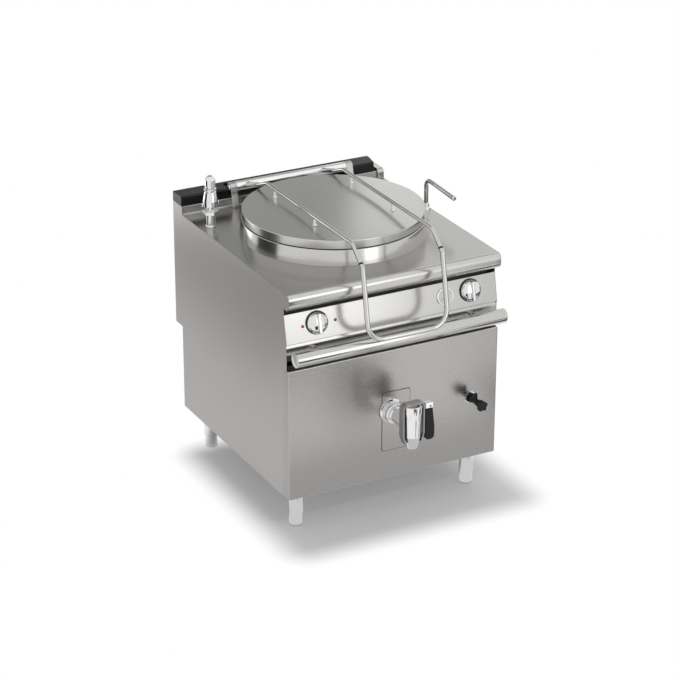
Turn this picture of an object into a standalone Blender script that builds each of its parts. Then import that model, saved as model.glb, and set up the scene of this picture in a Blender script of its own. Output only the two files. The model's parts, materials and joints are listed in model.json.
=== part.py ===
"""Steam jacketed kettle: a floor-standing boiling kettle with a round jacketed vessel, a hinged
lid on two tube arms with a long U handle, a swivelling water spout, a drain tap and a handrail.
Metres, +Z up, front toward -Y. Pieces are laid out from the front panel's face (y = 0) and the
floor (z = 0); the root empty then moves the whole kettle so its footprint is centred on the origin.
"""
import math

import bmesh
import bpy
from mathutils import Matrix, Quaternion, Vector

# Clearances and sheet
SHEET = 0.0015
FIT = 0.0003
CUT_OVER = 0.010
BIG_STEPS = 44
MID_STEPS = 24
SMALL_STEPS = 16
TINY_STEPS = 12
ARC_STEPS = 4
DISH_STEPS = 2

# Cabinet
SIDE_MARGIN = 0.076
FRONT_MARGIN = 0.1173
REAR_MARGIN = 0.1227
CAB_Z0 = 0.138
TOP_Z = 0.882
REAR_STEP_Z = 0.4505
REAR_STEP_IN = 0.053
DOOR_GAP = 0.052
DOOR_DEPTH = 0.044
DOOR_EDGE_R = 0.004
RECESS_EDGE_Y = 0.012
RECESS_BACK_Y = 0.076
BASE_LIP = 0.022

# Worktop nose, an oval front edge over a shadow gap
NOSE_OUT = 0.008
NOSE_TOP_Y = 0.011
NOSE_TOP_H = 0.020
NOSE_LOW_H = 0.022
NOSE_H = 0.052
NOSE_RETURN_Y = 0.030

# Control panel: a leaning face over a short upright strip
PANEL_TOP_Y = 0.030
PANEL_GAP = 0.029
PANEL_LOW_Y = 0.010
PANEL_FACE_H = 0.099
STRIP_Y = 0.014
STRIP_STEP = 0.005
STRIP_H = 0.033

# Rear upstand, flue cover and its end piece
UPSTAND_IN = 0.0744
UPSTAND_H = 0.030
UPSTAND_TUCK = 0.012
FLUE_H = 0.031
FLUE_STRIP_D = 0.017
FLUE_BLOCK_D = 0.070
FLUE_ROUND = 0.016
FLUE_LEFT_GAP = 0.001
FLUE_RIGHT_GAP = 0.003
FLUE_END_GAP = 0.010
END_W = 0.028
END_D = 0.082
END_STEP = 0.009
END_ROUND = 0.014

# Handrail
RAIL_R = 0.0255
RAIL_Y = -0.0424
RAIL_LIFT = 0.007
RAIL_END_IN = 0.004
RAIL_EDGE = 0.002
RAIL_POST_R = 0.0095
RAIL_POST_LIFT = 0.0105
RAIL_POST_IN = 0.096

# Adjustable feet
FOOT_IN = 0.065
FOOT_FRONT_Y = 0.080
FOOT_REAR_IN = 0.085
SLEEVE_R = 0.0255
SLEEVE_BORE = 0.0230
SLEEVE_Z0 = 0.045
SLEEVE_ROOF = 0.004
FOOT_R = 0.0225
FOOT_EDGE = 0.003

# Vessel, jacket and collar
VESSEL_R = 0.3025
VESSEL_WALL = 0.0025
VESSEL_H = 0.467
VESSEL_KNUCKLE = 0.060
VESSEL_DISH = 0.030
JACKET_SPACE = 0.0425
JACKET_WALL = 0.003
JACKET_DROP = 0.092
JACKET_UNDER = 0.030
JACKET_KNUCKLE = 0.085
COLLAR_LEAN = 0.0075
COLLAR_TOP_W = 0.014
COLLAR_H = 0.055
COLLAR_WALL = 0.0020
COLLAR_SEAT_W = 0.005
COLLAR_ROUND = 0.003

# Lid
LID_IN = 0.0019
LID_LIFT = 0.0035
LID_RIM_H = 0.0295
LID_CROWN = 0.0160
LID_WALL = 0.0020
LID_ROUND = 0.004
GASKET_W = 0.009
GASKET_H = 0.009

# Lid hinge at the rear
HINGE_APART = 0.0064
HINGE_LIFT = 0.068
HINGE_R = 0.017
HINGE_BORE = 0.0130
HINGE_LIP_BORE = 0.0065
HINGE_LIP_L = 0.010
SHAFT_R = 0.0062
BRACKET_L_APART = 0.0410
BRACKET_L_W = 0.0250
BRACKET_R_APART = 0.0940
BRACKET_R_W = 0.0260
BRACKET_FOOT_AHEAD = 0.0160

# Lid arms, posts and the U handle
ARM_X = 0.149
ARM_R = 0.0060
ARM_ROOT_AHEAD = 0.043
ARM_ROOT_LIFT = 0.017
ARM_KNEE_AHEAD = 0.108
ARM_KNEE_LIFT = 0.035
ARM_RISE_AHEAD = 0.170
ARM_LIFT = 0.060
ARM_FRONT_Y = 0.030
ARM_END_Y = -0.035
ARM_END_DROP = 0.053
ARM_BEND_R = 0.045
POST_R = 0.0048
POST_FRONT_APART = 0.1463
POST_REAR_APART = 0.1517
HANDLE_R = 0.0078
HANDLE_SOCKET_L = 0.012
HANDLE_NECK_R = 0.020
HANDLE_LEG_R = 0.200
HANDLE_MID_Y = -0.066
HANDLE_MID_DROP = 0.170
HANDLE_LOW_Y = -0.090
HANDLE_LOW_DROP = 0.305
HANDLE_CORNER_R = 0.058

# Water spout
SPOUT_IN = 0.022
SPOUT_BEHIND = 0.0237
SPOUT_R = 0.0077
SPOUT_BASE_R = 0.0160
SPOUT_BASE_H = 0.012
SPOUT_NUT_R = 0.0115
SPOUT_NUT_H = 0.026
SPOUT_SHANK_R = 0.0080
SPOUT_SHANK_L = 0.045
SPOUT_H = 0.116
SPOUT_REACH = 0.192
SPOUT_DROP = 0.010
SPOUT_BEND_R = 0.028

# Safety valve on the worktop
VALVE_IN = 0.0435
VALVE_BEHIND = 0.2287
VALVE_STEM_R = 0.0155
VALVE_HEX_R = 0.0245
VALVE_HEX_UP = 0.047
VALVE_HEX_H = 0.013
VALVE_NECK_R = 0.0125
VALVE_NECK_L = 0.0040
VALVE_BODY_R = 0.0210
VALVE_WING_UP = 0.020
VALVE_BODY_H = 0.054
VALVE_TOP_R = 0.0165
VALVE_TOP_H = 0.047
VALVE_DOME_H = 0.011
WING_SPAN = 0.066
WING_T = 0.007
WING_H = 0.015
RISER_R = 0.011
RISER_DROP = 0.090
RISER_BEND_R = 0.030

# Drain: plate, union, pipe and tap
DRAIN_X = -0.015
DRAIN_Z = 0.391
DRAIN_PLATE_X0 = -0.047
DRAIN_PLATE_X1 = 0.058
DRAIN_PLATE_Z0 = 0.242
DRAIN_PLATE_Z1 = 0.458
DRAIN_PLATE_R = 0.008
DRAIN_HOLE_R = 0.0290
PIPE_R = 0.0260
PIPE_WALL = 0.0020
PIPE_BEND_R = 0.043
PIPE_TURN_Y = 0.250
PIPE_TURN_R = 0.200
UNION_R = 0.0480
UNION_FACE = 0.010
UNION_NUT_R = 0.0360
UNION_NUT_Y = 0.040
UNION_BORE = 0.0240
UNION_TAIL = 0.010
TAP_Y = -0.147
TAP_R = 0.0310
TAP_TOP_Z = 0.473
TAP_CUP_R = 0.0255
TAP_CUP_D = 0.005
TAP_TAPER_Z = 0.348
TAP_TAPER_R = 0.0290
TAP_OUTLET_R = 0.0200
TAP_OUTLET_Z = 0.316
TAP_BORE = 0.0165
TAP_BORE_Z = 0.360
TAP_NECK_R = 0.0255
YOKE_HALF = 0.0415
YOKE_T = 0.0060
YOKE_W = 0.0200
YOKE_Z = 0.4820
YOKE_ROUND = 0.0180
YOKE_FOOT_Z = 0.336
YOKE_TAPER_H = 0.030
LEVER_Z = 0.4580
LEVER_PIN_R = 0.0050
LEVER_PIN_BORE = 0.0054
LEVER_PIN_IN = 0.012
LEVER_BLOCK_H = 0.0260
LEVER_BLOCK_W = 0.0300
LEVER_BLOCK_D = 0.0240
LEVER_STANDOFF = 0.0030
GRIP_Z0 = 0.337
GRIP_TOP_W = 0.0260
GRIP_LOW_W = 0.0340
GRIP_D = 0.0280
GRIP_ROUND = 0.007

# Jacket drain cock on the front panel
COCK_IN = 0.104
COCK_Z = 0.370
COCK_HOLE_R = 0.0125
COCK_NUT_R = 0.0190
COCK_NUT_T = 0.0080
COCK_BODY_R = 0.0120
COCK_BODY_Y = 0.070
COCK_VENT_R = 0.0060
COCK_VENT_Y = 0.038
COCK_VENT_H = 0.030
COCK_TAIL_R = 0.0090
COCK_TAIL_Y = 0.030
COCK_KNOB_R = 0.0200
COCK_KNOB_WAIST = 0.0155
COCK_KNOB_T = 0.0170
COCK_LOBES = 5
COCK_PIPE_IN = 0.096
COCK_PIPE_BEND_R = 0.028

# Controls on the leaning face
KNOB_LEFT_IN = 0.117
KNOB_RIGHT_IN = 0.102
KNOB_DROP = 0.042
KNOB_BEZEL_R = 0.0400
KNOB_BEZEL_T = 0.0050
KNOB_BEZEL_BORE = 0.0120
KNOB_R = 0.0340
KNOB_SIDE_H = 0.0120
KNOB_DOME_H = 0.0230
KNOB_GRIP_W = 0.0130
KNOB_GRIP_H = 0.0300
KNOB_SPINDLE_R = 0.0050
KNOB_SPINDLE_BORE = 0.0056
KNOB_SPINDLE_L = 0.0200
SWITCH_R = 0.0240
SWITCH_D = 0.0260
KNOB_EDGE = 0.0030
KNOB_GRIP_SHARE = 0.92
GAUGE_APART = 0.0974
GAUGE_DROP = 0.046
GAUGE_R = 0.0315
GAUGE_BEZEL_T = 0.0045
GAUGE_CASE_R = 0.0290
GAUGE_CASE_D = 0.0260
GAUGE_RIM_W = 0.0025
GAUGE_FACE_IN = 0.0020
LAMP_LEFT_APART = 0.0517
LAMP_RIGHT_APART = 0.0686
LAMP_R = 0.0060
LAMP_T = 0.0030
LAMP_BODY_R = 0.0045
LAMP_BODY_D = 0.0220

# Derived places
COLLAR_TOP_R = VESSEL_R + COLLAR_TOP_W
COLLAR_BASE_R = COLLAR_TOP_R + COLLAR_LEAN
COLLAR_HOLE_R = COLLAR_BASE_R - COLLAR_SEAT_W
JACKET_R = VESSEL_R + JACKET_SPACE
LID_R = COLLAR_TOP_R - LID_IN
KETTLE_Y = FRONT_MARGIN + COLLAR_BASE_R
CAB_REAR_Y = KETTLE_Y + COLLAR_BASE_R + REAR_MARGIN
HALF_W = COLLAR_BASE_R + SIDE_MARGIN
INNER_X = HALF_W - SHEET - FIT
UPSTAND_Z = TOP_Z + UPSTAND_H
FLUE_Z = UPSTAND_Z + FLUE_H
END_Z = UPSTAND_Z + END_STEP
COLLAR_Z = TOP_Z + COLLAR_H
LID_Z0 = COLLAR_Z + LID_LIFT
LID_RIM_Z = LID_Z0 + LID_RIM_H
VESSEL_Z0 = COLLAR_Z - VESSEL_H
JACKET_Z1 = TOP_Z - JACKET_DROP
JACKET_Z0 = VESSEL_Z0 - JACKET_UNDER
HINGE_Z = TOP_Z + HINGE_LIFT
ARM_Z = HINGE_Z + ARM_LIFT
ARM_ROOT_Z = HINGE_Z + ARM_ROOT_LIFT
ARM_KNEE_Z = HINGE_Z + ARM_KNEE_LIFT
ARM_END_Z = ARM_Z - ARM_END_DROP
HANDLE_MID_Z = ARM_Z - HANDLE_MID_DROP
HANDLE_LOW_Z = ARM_Z - HANDLE_LOW_DROP
SPOUT_TOP_Z = TOP_Z + SPOUT_H
RISER_Z = JACKET_Z1 - RISER_DROP
PANEL_TOP_Z = TOP_Z - NOSE_H - PANEL_GAP
PANEL_LOW_Z = PANEL_TOP_Z - PANEL_FACE_H
STRIP_Z1 = PANEL_LOW_Z - STRIP_STEP
STRIP_Z0 = STRIP_Z1 - STRIP_H
DOOR_Z1 = STRIP_Z0 - DOOR_GAP
RAIL_Z = STRIP_Z0 + RAIL_LIFT
RAIL_POST_Z = STRIP_Z0 + RAIL_POST_LIFT
RAIL_HALF = HALF_W - RAIL_END_IN
RAIL_POST_X = RAIL_HALF - RAIL_POST_IN
END_X0 = HALF_W - END_W
END_Y0 = CAB_REAR_Y - END_D
UPSTAND_Y = CAB_REAR_Y - UPSTAND_IN
FLUE_BLOCK_Y = CAB_REAR_Y - FLUE_BLOCK_D
HINGE_Y = UPSTAND_Y + HINGE_APART
BRACKET_L_X1 = -ARM_X - BRACKET_L_APART
BRACKET_L_X0 = BRACKET_L_X1 - BRACKET_L_W
BRACKET_R_X0 = ARM_X + BRACKET_R_APART
BRACKET_R_X1 = BRACKET_R_X0 + BRACKET_R_W
BRACKET_FOOT_Y0 = HINGE_Y - HINGE_R - BRACKET_FOOT_AHEAD
ARM_ROOT_Y = HINGE_Y - ARM_ROOT_AHEAD
ARM_KNEE_Y = HINGE_Y - ARM_KNEE_AHEAD
ARM_RISE_Y = HINGE_Y - ARM_RISE_AHEAD
POST_FRONT_Y = KETTLE_Y - POST_FRONT_APART
POST_REAR_Y = KETTLE_Y + POST_REAR_APART
FLUE_LEFT_END_X = BRACKET_L_X0 - FLUE_LEFT_GAP
FLUE_RIGHT_X = BRACKET_R_X1 + FLUE_RIGHT_GAP
FLUE_RIGHT_FRONT_X = END_X0 - FLUE_END_GAP
FOOT_X = HALF_W - FOOT_IN
SPOUT_X = HALF_W - SPOUT_IN
SPOUT_Y = KETTLE_Y + SPOUT_BEHIND
VALVE_X = VALVE_IN - HALF_W
VALVE_Y = KETTLE_Y + VALVE_BEHIND
VALVE_HEX_Z0 = TOP_Z + VALVE_HEX_UP
VALVE_HEX_Z1 = VALVE_HEX_Z0 + VALVE_HEX_H
VALVE_NECK_Z = VALVE_HEX_Z1 + VALVE_NECK_L
VALVE_WING_Z = VALVE_NECK_Z + VALVE_WING_UP
VALVE_BODY_Z = VALVE_WING_Z + VALVE_BODY_H
VALVE_TOP_Z = VALVE_BODY_Z + VALVE_TOP_H
COCK_X = HALF_W - COCK_IN
COCK_PIPE_X = COCK_X - COCK_PIPE_IN
KNOB_LEFT_X = KNOB_LEFT_IN - HALF_W
KNOB_RIGHT_X = HALF_W - KNOB_RIGHT_IN
KNOB_Z = PANEL_TOP_Z - KNOB_DROP
GAUGE_X = KNOB_RIGHT_X - GAUGE_APART
GAUGE_Z = PANEL_TOP_Z - GAUGE_DROP
LAMP_LEFT_X = KNOB_LEFT_X - LAMP_LEFT_APART
LAMP_RIGHT_X = KNOB_LEFT_X + LAMP_RIGHT_APART
LAMP_Z = GAUGE_Z
LOW_REAR_Y = CAB_REAR_Y - REAR_STEP_IN
FOOT_REAR_Y = LOW_REAR_Y - FOOT_REAR_IN
FRONT_REACH_Y = TAP_Y - TAP_R
MIDDLE_Y = (CAB_REAR_Y + FRONT_REACH_Y) / 2
LEAN = Vector((0, PANEL_TOP_Y - PANEL_LOW_Y, PANEL_TOP_Z - PANEL_LOW_Z)).normalized()
OUT = Vector((0, -LEAN.z, LEAN.y))

for old in list(bpy.data.objects):
    bpy.data.objects.remove(old, do_unlink=True)


def new_collection(name):
    """A collection linked to the scene."""
    group = bpy.data.collections.new(name)
    bpy.context.scene.collection.children.link(group)
    return group


KETTLE = new_collection("steam_jacketed_kettle")
CUTTERS = new_collection("cutters")


def linear(channel):
    """One sRGB channel from 0 to 1 as a linear value."""
    return channel / 12.92 if channel <= 0.04045 else ((channel + 0.055) / 1.055) ** 2.4


def material(name, colour, roughness, metallic):
    """A Principled material from a hexadecimal sRGB colour."""
    made = bpy.data.materials.new(name)
    made.use_nodes = True
    shader = made.node_tree.nodes["Principled BSDF"]
    rgb = [linear(int(colour[i:i + 2], 16) / 255) for i in (0, 2, 4)]
    shader.inputs["Base Color"].default_value = (*rgb, 1)
    shader.inputs["Roughness"].default_value = roughness
    shader.inputs["Metallic"].default_value = metallic
    made.diffuse_color = (*rgb, 1)
    return made


SATIN = material("satin stainless steel", "A9ABAC", 0.38, 1.0)
POLISHED = material("polished stainless steel", "C9CBCC", 0.16, 1.0)
CHROME = material("chrome", "D8DADB", 0.08, 1.0)
BLACK = material("black enamelled steel", "201E1E", 0.45, 0.0)
DARK = material("dark shadow-gap sheet", "2A2A2B", 0.6, 0.0)
PLASTIC = material("black heat-proof plastic", "1C1B1C", 0.5, 0.0)
RUBBER = material("grey silicone rubber", "3A3A3A", 0.7, 0.0)
RED = material("red lamp lens", "B3202A", 0.25, 0.0)
DIAL = material("white gauge dial behind glass", "E6E8E8", 0.15, 0.0)
BRASS = material("nickel-plated brass", "B9B6AA", 0.3, 1.0)
STEEL = material("plain steel", "8D8F92", 0.45, 1.0)


def empty(name, place, parent=None):
    """An empty at a place given in the laying-out frame."""
    made = bpy.data.objects.new(name, None)
    made.empty_display_size = SLEEVE_R
    KETTLE.objects.link(made)
    made.parent = parent
    made.location = Vector(place)
    return made


ROOT = empty("kettle_root", (0, -MIDDLE_Y, 0))


def pivot(name, place):
    """An empty on a joint's axis, carried by the root."""
    return empty(name, place, ROOT)


def origin_of(holder):
    """Where a holder lies in the laying-out frame."""
    return Vector((0, 0, 0)) if holder is ROOT else holder.location.copy()


def add_solid(name, bm, finish, holder=ROOT):
    """Turn a bmesh drawn in the laying-out frame into a named object under its holder."""
    bmesh.ops.translate(bm, vec=-origin_of(holder), verts=bm.verts)
    bmesh.ops.recalc_face_normals(bm, faces=bm.faces)
    mesh = bpy.data.meshes.new(name)
    bm.to_mesh(mesh)
    bm.free()
    mesh.materials.append(finish)
    made = bpy.data.objects.new(name, mesh)
    KETTLE.objects.link(made)
    made.parent = holder
    return made


def box_bm(x0, x1, y0, y1, z0, z1):
    """A box between two corners."""
    bm = bmesh.new()
    bmesh.ops.create_cube(bm, size=1)
    bmesh.ops.scale(bm, vec=(x1 - x0, y1 - y0, z1 - z0), verts=bm.verts)
    middle = Vector(((x0 + x1) / 2, (y0 + y1) / 2, (z0 + z1) / 2))
    bmesh.ops.translate(bm, vec=middle, verts=bm.verts)
    return bm


def rod_bm(start, end, radius, steps):
    """A capped cylinder between two points."""
    start, end = Vector(start), Vector(end)
    bm = bmesh.new()
    length = (end - start).length
    bmesh.ops.create_cone(bm, cap_ends=True, segments=steps, radius1=radius, radius2=radius,
                          depth=length)
    turn = Vector((0, 0, 1)).rotation_difference(end - start).to_matrix()
    bmesh.ops.rotate(bm, matrix=turn, verts=bm.verts)
    bmesh.ops.translate(bm, vec=(start + end) / 2, verts=bm.verts)
    return bm


def prism_bm(outline, to_space, low, high):
    """A flat outline carried from low to high along the third direction of to_space."""
    bm = bmesh.new()
    verts = [bm.verts.new(to_space(a, b, low)) for a, b in outline]
    face = bm.faces.new(verts)
    lifted = bmesh.ops.extrude_face_region(bm, geom=[face])
    moved = [item for item in lifted["geom"] if isinstance(item, bmesh.types.BMVert)]
    shift = Vector(to_space(0, 0, high)) - Vector(to_space(0, 0, low))
    bmesh.ops.translate(bm, vec=shift, verts=moved)
    bmesh.ops.recalc_face_normals(bm, faces=bm.faces)
    return bm


def along_x(a, b, c):
    """An outline in the YZ plane, carried along X."""
    return (c, a, b)


def along_y(a, b, c):
    """An outline in the XZ plane, carried along Y."""
    return (a, c, b)


def along_z(a, b, c):
    """An outline in plan, carried along Z."""
    return (a, b, c)


def arc(centre, radii, start, end, steps):
    """Points on a quarter or other part of an ellipse, angles in degrees."""
    points = []
    for index in range(steps + 1):
        angle = math.radians(start + (end - start) * index / steps)
        points.append((centre[0] + radii[0] * math.cos(angle),
                       centre[1] + radii[1] * math.sin(angle)))
    return points


def rounded(points, radii, steps):
    """A path with each inner corner turned into an arc of its own radius."""
    points = [Vector(point) for point in points]
    path = [points[0]]
    for before, corner, after, radius in zip(points, points[1:], points[2:], radii):
        back = (before - corner).normalized()
        ahead = (after - corner).normalized()
        half = back.angle(ahead) / 2
        reach = radius / math.tan(half)
        centre = corner + (back + ahead).normalized() * (radius / math.sin(half))
        first = corner + back * reach - centre
        last = corner + ahead * reach - centre
        spin = first.cross(last).normalized()
        sweep = first.angle(last)
        for index in range(steps + 1):
            path.append(centre + Quaternion(spin, sweep * index / steps) @ first)
    path.append(points[-1])
    return path


def tube_bm(points, radius, resolution, capped=True):
    """A round tube or bar along a path, made from a bevelled curve and welded at its caps."""
    data = bpy.data.curves.new("path", "CURVE")
    data.dimensions = "3D"
    data.bevel_depth = radius
    data.bevel_resolution = resolution
    data.use_fill_caps = capped
    spline = data.splines.new("POLY")
    spline.points.add(len(points) - 1)
    for knot, point in zip(spline.points, points):
        knot.co = (*point, 1)
    guide = bpy.data.objects.new("path", data)
    CUTTERS.objects.link(guide)
    graph = bpy.context.evaluated_depsgraph_get()
    mesh = bpy.data.meshes.new_from_object(guide.evaluated_get(graph))
    bm = bmesh.new()
    bm.from_mesh(mesh)
    bmesh.ops.remove_doubles(bm, verts=bm.verts, dist=FIT / 10)
    bpy.data.objects.remove(guide, do_unlink=True)
    bpy.data.meshes.remove(mesh)
    bpy.data.curves.remove(data)
    return bm


def turned(name, profile, steps, finish, centre, axis=(0, 0, 1), holder=ROOT, closed=False):
    """A profile of (radius, height) turned about an axis with a Screw modifier."""
    mesh = bpy.data.meshes.new(name)
    count = len(profile)
    edges = [(i, i + 1) for i in range(count - 1)]
    if closed:
        edges.append((count - 1, 0))
    mesh.from_pydata([(r, 0, z) for r, z in profile], edges, [])
    mesh.materials.append(finish)
    made = bpy.data.objects.new(name, mesh)
    KETTLE.objects.link(made)
    made.parent = holder
    made.location = Vector(centre) - origin_of(holder)
    made.rotation_mode = "QUATERNION"
    made.rotation_quaternion = Vector((0, 0, 1)).rotation_difference(Vector(axis))
    spin = made.modifiers.new("turn", "SCREW")
    spin.steps = steps
    spin.render_steps = steps
    spin.use_merge_vertices = True
    spin.merge_threshold = FIT / 10
    spin.use_normal_calculate = False
    return made


def solidify(made, thickness):
    """Give an open surface its wall, on the side away from its normals."""
    wall = made.modifiers.new("wall", "SOLIDIFY")
    wall.thickness = thickness
    wall.offset = -1
    wall.use_even_offset = True
    return made


def bevel(made, width, segments, angle=40):
    """Round the edges that are sharper than the angle."""
    edge = made.modifiers.new("edges", "BEVEL")
    edge.width = width
    edge.segments = segments
    edge.limit_method = "ANGLE"
    edge.angle_limit = math.radians(angle)
    return made


def combine(made, bm, operation="DIFFERENCE"):
    """Cut a shape out of a piece, or join it on, with an exact Boolean."""
    bmesh.ops.recalc_face_normals(bm, faces=bm.faces)
    mesh = bpy.data.meshes.new(made.name + "_tool")
    bm.to_mesh(mesh)
    bm.free()
    tool = bpy.data.objects.new(made.name + "_tool", mesh)
    CUTTERS.objects.link(tool)
    tool.parent = ROOT
    tool.hide_render = True
    tool.display_type = "WIRE"
    step = made.modifiers.new("shape", "BOOLEAN")
    step.operation = operation
    step.solver = "EXACT"
    step.object = tool
    return made


def folded(name, line, x0, x1, finish, holder=ROOT):
    """A sheet folded along X: its outer line runs forward, down and back, the wall lies inside."""
    bm = bmesh.new()
    left = [bm.verts.new((x0, y, z)) for y, z in line]
    right = [bm.verts.new((x1, y, z)) for y, z in line]
    for i in range(len(line) - 1):
        bm.faces.new((left[i], left[i + 1], right[i + 1], right[i]))
    mesh = bpy.data.meshes.new(name)
    bm.to_mesh(mesh)
    bm.free()
    mesh.materials.append(finish)
    made = bpy.data.objects.new(name, mesh)
    KETTLE.objects.link(made)
    made.parent = holder
    return solidify(made, SHEET)


def open_box(name, x0, x1, y0, y1, z0, z1, gone, finish, edge):
    """A sheet box that is open on the side whose normal is given."""
    bm = box_bm(x0, x1, y0, y1, z0, z1)
    bmesh.ops.recalc_face_normals(bm, faces=bm.faces)
    away = [face for face in bm.faces if face.normal.dot(Vector(gone)) > 0.5]
    bmesh.ops.delete(bm, geom=away, context="FACES")
    mesh = bpy.data.meshes.new(name)
    bm.to_mesh(mesh)
    bm.free()
    mesh.materials.append(finish)
    made = bpy.data.objects.new(name, mesh)
    KETTLE.objects.link(made)
    made.parent = ROOT
    bevel(made, edge, 2)
    return solidify(made, SHEET)


def on_panel(x, z, out=0.0):
    """A point on the control panel's leaning face, or that far in front of it."""
    share = (z - PANEL_LOW_Z) / (PANEL_TOP_Z - PANEL_LOW_Z)
    y = PANEL_LOW_Y + (PANEL_TOP_Y - PANEL_LOW_Y) * share
    return Vector((x, y, z)) + OUT * out


def nose_line():
    """The worktop's oval front edge in (y, z), from its top to its underside."""
    top = arc((NOSE_TOP_Y, TOP_Z - NOSE_TOP_H), (NOSE_TOP_Y + NOSE_OUT, NOSE_TOP_H),
              90, 180, ARC_STEPS)
    low_z = TOP_Z - NOSE_H
    low = arc((NOSE_TOP_Y, low_z + NOSE_LOW_H), (NOSE_TOP_Y + NOSE_OUT, NOSE_LOW_H),
              180, 270, ARC_STEPS)
    return top + low


def side_outline():
    """The side panel in (y, z): it closes the nose, the control panel and the rear upstand."""
    low_z = TOP_Z - NOSE_H
    points = [(UPSTAND_Y, TOP_Z)]
    points += nose_line()
    points += [(NOSE_RETURN_Y, low_z), (PANEL_TOP_Y, PANEL_TOP_Z), (PANEL_LOW_Y, PANEL_LOW_Z),
               (STRIP_Y, STRIP_Z1), (STRIP_Y, STRIP_Z0), (RECESS_EDGE_Y, STRIP_Z0),
               (RECESS_EDGE_Y, DOOR_Z1 + FIT), (DOOR_DEPTH + FIT, DOOR_Z1 + FIT),
               (DOOR_DEPTH + FIT, CAB_Z0), (LOW_REAR_Y, CAB_Z0), (LOW_REAR_Y, REAR_STEP_Z),
               (CAB_REAR_Y, REAR_STEP_Z), (CAB_REAR_Y, UPSTAND_Z), (UPSTAND_Y, UPSTAND_Z)]
    return points


def make_cabinet():
    """The sheet-metal housing, its worktop and its rear upstand."""
    for name, x0 in (("side_panel_left", -HALF_W), ("side_panel_right", HALF_W - SHEET)):
        add_solid(name, prism_bm(side_outline(), along_x, x0, x0 + SHEET), SATIN)

    line = [(UPSTAND_Y - FIT, TOP_Z)] + nose_line() + [(NOSE_RETURN_Y, TOP_Z - NOSE_H)]
    worktop = folded("worktop", line, -INNER_X, INNER_X, SATIN)
    over = TOP_Z + CUT_OVER
    under = TOP_Z - CUT_OVER
    for x, y, radius, steps in ((0, KETTLE_Y, COLLAR_HOLE_R, BIG_STEPS),
                                (SPOUT_X, SPOUT_Y, SPOUT_SHANK_R + FIT, SMALL_STEPS),
                                (VALVE_X, VALVE_Y, RISER_R + FIT, SMALL_STEPS)):
        combine(worktop, rod_bm((x, y, under), (x, y, over), radius, steps))

    control = [(RECESS_BACK_Y - SHEET - FIT, PANEL_TOP_Z), (PANEL_TOP_Y, PANEL_TOP_Z),
               (PANEL_LOW_Y, PANEL_LOW_Z), (STRIP_Y, STRIP_Z1), (STRIP_Y, STRIP_Z0),
               (RECESS_BACK_Y - SHEET - FIT, STRIP_Z0)]
    panel = folded("control_panel", control, -INNER_X, INNER_X, SATIN)
    for x, z, radius, steps in ((KNOB_LEFT_X, KNOB_Z, KNOB_SPINDLE_BORE, TINY_STEPS),
                                (KNOB_RIGHT_X, KNOB_Z, KNOB_SPINDLE_BORE, TINY_STEPS),
                                (GAUGE_X, GAUGE_Z, GAUGE_CASE_R + FIT, MID_STEPS),
                                (LAMP_LEFT_X, LAMP_Z, LAMP_BODY_R + FIT, TINY_STEPS),
                                (LAMP_RIGHT_X, LAMP_Z, LAMP_BODY_R + FIT, TINY_STEPS)):
        combine(panel, rod_bm(on_panel(x, z, -CUT_OVER), on_panel(x, z, CUT_OVER), radius, steps))

    add_solid("recess_panel", box_bm(-INNER_X, INNER_X, RECESS_BACK_Y - SHEET, RECESS_BACK_Y,
                                     DOOR_Z1 + FIT, TOP_Z - SHEET - FIT), DARK)

    door = open_box("front_panel", -HALF_W, HALF_W, 0, DOOR_DEPTH, CAB_Z0, DOOR_Z1,
                    (0, 1, 0), SATIN, DOOR_EDGE_R)
    for x, z, radius in ((DRAIN_X, DRAIN_Z, DRAIN_HOLE_R), (COCK_X, COCK_Z, COCK_HOLE_R)):
        combine(door, rod_bm((x, -CUT_OVER, z), (x, CUT_OVER, z), radius, MID_STEPS))

    open_box("base_pan", -INNER_X, INNER_X, DOOR_DEPTH + FIT, LOW_REAR_Y - SHEET - FIT,
             CAB_Z0, CAB_Z0 + BASE_LIP, (0, 0, 1), STEEL, DOOR_EDGE_R)

    rear = [(CAB_REAR_Y, UPSTAND_Z - SHEET - FIT), (CAB_REAR_Y, REAR_STEP_Z),
            (LOW_REAR_Y, REAR_STEP_Z), (LOW_REAR_Y, CAB_Z0)]
    folded("rear_panel", list(reversed(rear)), -INNER_X, INNER_X, SATIN)

    upstand = [(CAB_REAR_Y, UPSTAND_Z), (UPSTAND_Y, UPSTAND_Z), (UPSTAND_Y, TOP_Z - UPSTAND_TUCK)]
    upstand = folded("rear_upstand", upstand, -INNER_X, INNER_X, SATIN)

    corner = arc((END_Y0 + END_ROUND, END_Z - END_ROUND), (END_ROUND, END_ROUND), 90, 180,
                 ARC_STEPS)
    rear_y = CAB_REAR_Y - SHEET - FIT
    end_line = [(rear_y, END_Z)] + corner + [(END_Y0, TOP_Z + FIT), (rear_y, TOP_Z + FIT)]
    combine(upstand, prism_bm(end_line, along_x, END_X0, INNER_X - FIT), "UNION")

    strip_y = CAB_REAR_Y - FLUE_STRIP_D
    plan = [(-HALF_W, FLUE_BLOCK_Y), (FLUE_LEFT_END_X, FLUE_BLOCK_Y), (FLUE_LEFT_END_X, strip_y),
            (FLUE_RIGHT_X, strip_y), (FLUE_RIGHT_X, FLUE_BLOCK_Y),
            (FLUE_RIGHT_FRONT_X, FLUE_BLOCK_Y), (END_X0 - FIT, strip_y),
            (END_X0 - FIT, CAB_REAR_Y), (-HALF_W, CAB_REAR_Y)]
    bm = prism_bm(plan, along_z, UPSTAND_Z + FIT, FLUE_Z)
    front = [edge for edge in bm.edges
             if all(v.co.z > UPSTAND_Z + FLUE_ROUND and v.co.y < FLUE_BLOCK_Y + FIT
                    for v in edge.verts)]
    bmesh.ops.bevel(bm, geom=front, offset=FLUE_ROUND, segments=3, profile=0.5, affect="EDGES")
    add_solid("flue_cover", bm, BLACK)


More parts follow.
